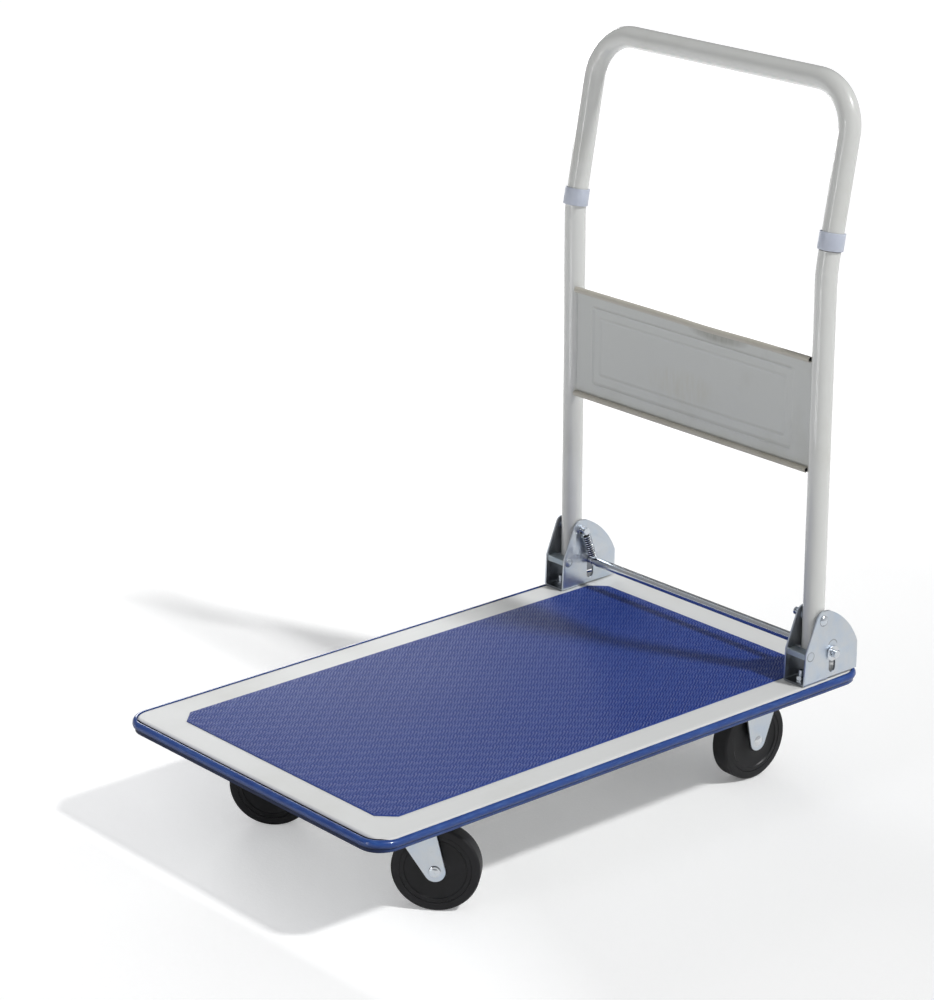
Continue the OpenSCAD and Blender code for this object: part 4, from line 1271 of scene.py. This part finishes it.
# %% Forks, axles and plates
for name in ("left", "right"):
    softened("swivel_fork_" + name, ZINC, "caster_" + name, 0.3 * MM)
    softened("rear_fork_" + name, ZINC, "deck", 0.3 * MM)
    dress(ZINC, "swivel_plate_" + name, "kingpin_" + name, "ball_ring_" + name)
    dress(BRIGHT_ZINC, "front_bush_" + name, "rear_bush_" + name)
dress(ZINC, "caster_bolts")


# %% Axle ends
FORK_REACH = 16.5 * MM
HEAD_EDGE = 0.5 * MM


def axle_end(name, body, joint, head_r, gap_r):
    """A riveted axle end: a flat disc with a round edge, in a hole that is a little too large; a
    black disc behind it paints the shade in the hole.
    """
    centre, axis = Vector(joint["pos_m"]), Vector(joint["axis"]).normalized()
    head = [(0.0, 0.0), (0.0, head_r)]
    head += [(0.9 * MM + b * 0.5, head_r - HEAD_EDGE + a)
             for a, b in arc((0, 0), HEAD_EDGE, 0, 90, 4)]
    head += [(1.05 * MM, head_r * 0.5), (0.9 * MM, 0.0)]
    gap = [(0.06 * MM, 0.0), (0.06 * MM, gap_r), (0.0, gap_r)]
    raised = Vector((0, 0, 0.7 * MM))
    heads = [turned(head, centre + out * FORK_REACH, out, 48) for out in (axis, -axis)]
    gaps = [turned(gap, centre + out * FORK_REACH + raised, out, 48) for out in (axis, -axis)]
    piece("axle_head_" + name, joined(heads), BRIGHT_ZINC, body, 30.0, ())
    piece("axle_gap_" + name, joined(gaps), SHADE_BLACK, body, 30.0, ())


for name in ("left", "right"):
    dress(BRIGHT_ZINC, "front_axle_" + name, "rear_axle_" + name)
    axle_end("front_" + name, "caster_" + name, JOINTS["front_wheel_spin_" + name],
             head_r=6.0 * MM, gap_r=6.5 * MM)
    axle_end("rear_" + name, "deck", JOINTS["rear_wheel_spin_" + name],
             head_r=4.6 * MM, gap_r=5.2 * MM)


# %% Caster nuts
CASTER_FLATS = 12.4 * MM
CASTER_BOLT_R = 4.0 * MM
SPREAD_X, SPREAD_Y = 24 * MM, 36 * MM


def caster_nuts():
    """Four nuts over each caster's plate, every one turned a little differently."""
    foot, thick = low("caster_nuts").z, high("caster_nuts").z - low("caster_nuts").z
    nuts = []
    for node, shift in (("swivel_plate_right", 0.2), ("rear_fork_right", 0.5)):
        plate = middle(node)
        for side in (1, -1):
            for hx in (SPREAD_X, -SPREAD_X):
                for hy in (SPREAD_Y, -SPREAD_Y):
                    seat = Vector((side * plate.x + hx, plate.y + hy, foot))
                    nuts.append(chamfered_nut(seat, CASTER_FLATS, thick, CASTER_BOLT_R,
                                              shift + 9 * hx + 5 * hy))
    return joined(nuts)


piece("plate_nuts", caster_nuts(), BRIGHT_ZINC, "deck", 25.0, ("caster_nuts",))

# %% [markdown]
# ## The studio
#
# The cart stands in a white studio. A broad lamp high at the right gives the shadow its
# direction, and the pale room fills the rest. The room is darker where the mat would mirror it,
# so that the mat keeps its deep blue, and one pale card at the far left puts a sheen on the
# mat's near end only. Two strips on the floor and a tall one in front draw the thin line of
# light that runs up each tube. The camera sees a plain white room and a floor lifted towards
# white; the floor also glows with painted light, more towards the front, most where that meets
# the cart's shadow, and more again far away, so that the shadow is lighter at its near end
# while it still shows.

# %% Floor
FLOOR_HALF = 14.0
FLOOR_GLOW = 0.135
# The soft left and near limits of the floor that the cart shades.
SHADED_LEFT = (-0.345, -0.315)
SHADED_NEAR = (-0.425, -0.395)


def studio_floor():
    mesh = bpy.data.meshes.new("studio_floor")
    corners = [(x * FLOOR_HALF, y * FLOOR_HALF, 0)
               for x, y in ((-1, -1), (1, -1), (1, 1), (-1, 1))]
    mesh.from_pydata(corners, [], [(0, 1, 2, 3)])
    floor = bpy.data.objects.new("studio_floor", mesh)
    bpy.context.collection.objects.link(floor)
    paper = Finish("studio_floor", (0.865, 0.865, 0.86, 1), roughness=0.9,
                   specular_ior_level=0.1)
    grain = paper.noise(220.0, 3.0, 0.7)
    paper.over(grain.ramp(0.3, 0.7), (0.90, 0.90, 0.895, 1))
    paper.wear(normal=paper.bump(grain, 0.8 * MM, 0.35))
    plain = Value(paper, paper.shader.outputs[0])
    # Painted light: the floor glows more towards the front, most within the floor that the cart
    # shades, and more again far from the cart.
    ahead = (paper.place(0) * -0.35 + paper.place(1) * -0.94).ramp(0.06, 0.38)
    shaded = paper.place(0).ramp(*SHADED_LEFT) * paper.place(1).ramp(*SHADED_NEAR)
    away = paper.node("ShaderNodeVectorMath", {"operation": "LENGTH"}, {0: paper.place()},
                      output="Value").ramp(0.9, 1.8)
    strength = ahead * (shaded * 0.26 + 0.06) + away * 0.2 + FLOOR_GLOW
    glow = paper.node("ShaderNodeEmission", inputs={"Color": (0.98, 0.985, 1.0, 1),
                                                    "Strength": strength})
    lifted = paper.node("ShaderNodeAddShader", inputs={0: plain, 1: glow})
    seen = paper.node("ShaderNodeLightPath", output="Is Camera Ray")
    mixed = paper.node("ShaderNodeMixShader", inputs={0: seen, 1: plain, 2: lifted})
    paper.feed(paper.tree.nodes["Material Output"].inputs["Surface"], mixed)
    mesh.materials.append(paper.material)


studio_floor()


# %% Room
# The direction that the mat mirrors towards the camera.
MAT_MIRRORS = (-0.713, 0.617, 0.331)


def studio_room():
    world = bpy.data.worlds.new("studio_room")
    bpy.context.scene.world = world
    world.use_nodes = True
    room = Network(world.node_tree)
    toward = room.node("ShaderNodeTexCoord", output="Generated")
    height = room.node("ShaderNodeSeparateXYZ", inputs={0: toward}, output=2)
    mirrored = room.node("ShaderNodeVectorMath", {"operation": "DOT_PRODUCT"},
                         {0: toward, 1: MAT_MIRRORS}, output="Value")
    light = room.blend(height.ramp(0.0, 0.8), (0.62, 0.62, 0.63, 1), (0.36, 0.365, 0.37, 1))
    ahead = room.node("ShaderNodeSeparateXYZ", inputs={0: toward}, output=1).ramp(0.1, -0.7)
    light = room.blend(ahead * 0.62, light, (0.12, 0.12, 0.125, 1))
    light = room.blend(mirrored.ramp(0.72, 0.93), light, (0.13, 0.13, 0.135, 1))
    seen = room.node("ShaderNodeLightPath", output="Is Camera Ray")
    room.feed(room.tree.nodes["Background"].inputs["Color"],
              room.blend(seen, light, (1.0, 1.0, 1.0, 1)))


studio_room()


# %% Lamps
def lamp(name, kind, place, toward, **settings):
    """A lamp that stands at place and shines along toward."""
    light = bpy.data.lights.new(name, kind)
    for key, value in settings.items():
        setattr(light, key, value)
    obj = bpy.data.objects.new(name, light)
    bpy.context.collection.objects.link(obj)
    obj.location = place
    obj.rotation_euler = Vector(toward).to_track_quat("-Z", "Y").to_euler()


def panel_lamp(name, place, toward, energy, wide, tall):
    """A flat lamp of a width and a height in metres, with its energy in watts."""
    lamp(name, "AREA", place, toward, energy=energy, shape="RECTANGLE", size=wide, size_y=tall)


lamp("broad_lamp", "SUN", (0, 0, 0), (-0.79, -0.33, -1.0), energy=2.05, angle=math.radians(5))
panel_lamp("pale_card", (-1.78, 0.9, 0.78), (1.58, -1.0, -0.62), 12.5, 0.9, 0.8)
panel_lamp("floor_strip_left", (-0.24, -1.5, 0.01), (0, 0, 1), 3.0, 0.14, 1.15)
panel_lamp("floor_strip_right", (0.17, -1.5, 0.01), (0, 0, 1), 3.0, 0.14, 1.15)
panel_lamp("tall_strip", (-0.02, -2.6, 0.85), (0, 1, 0), 9.0, 0.3, 1.5)
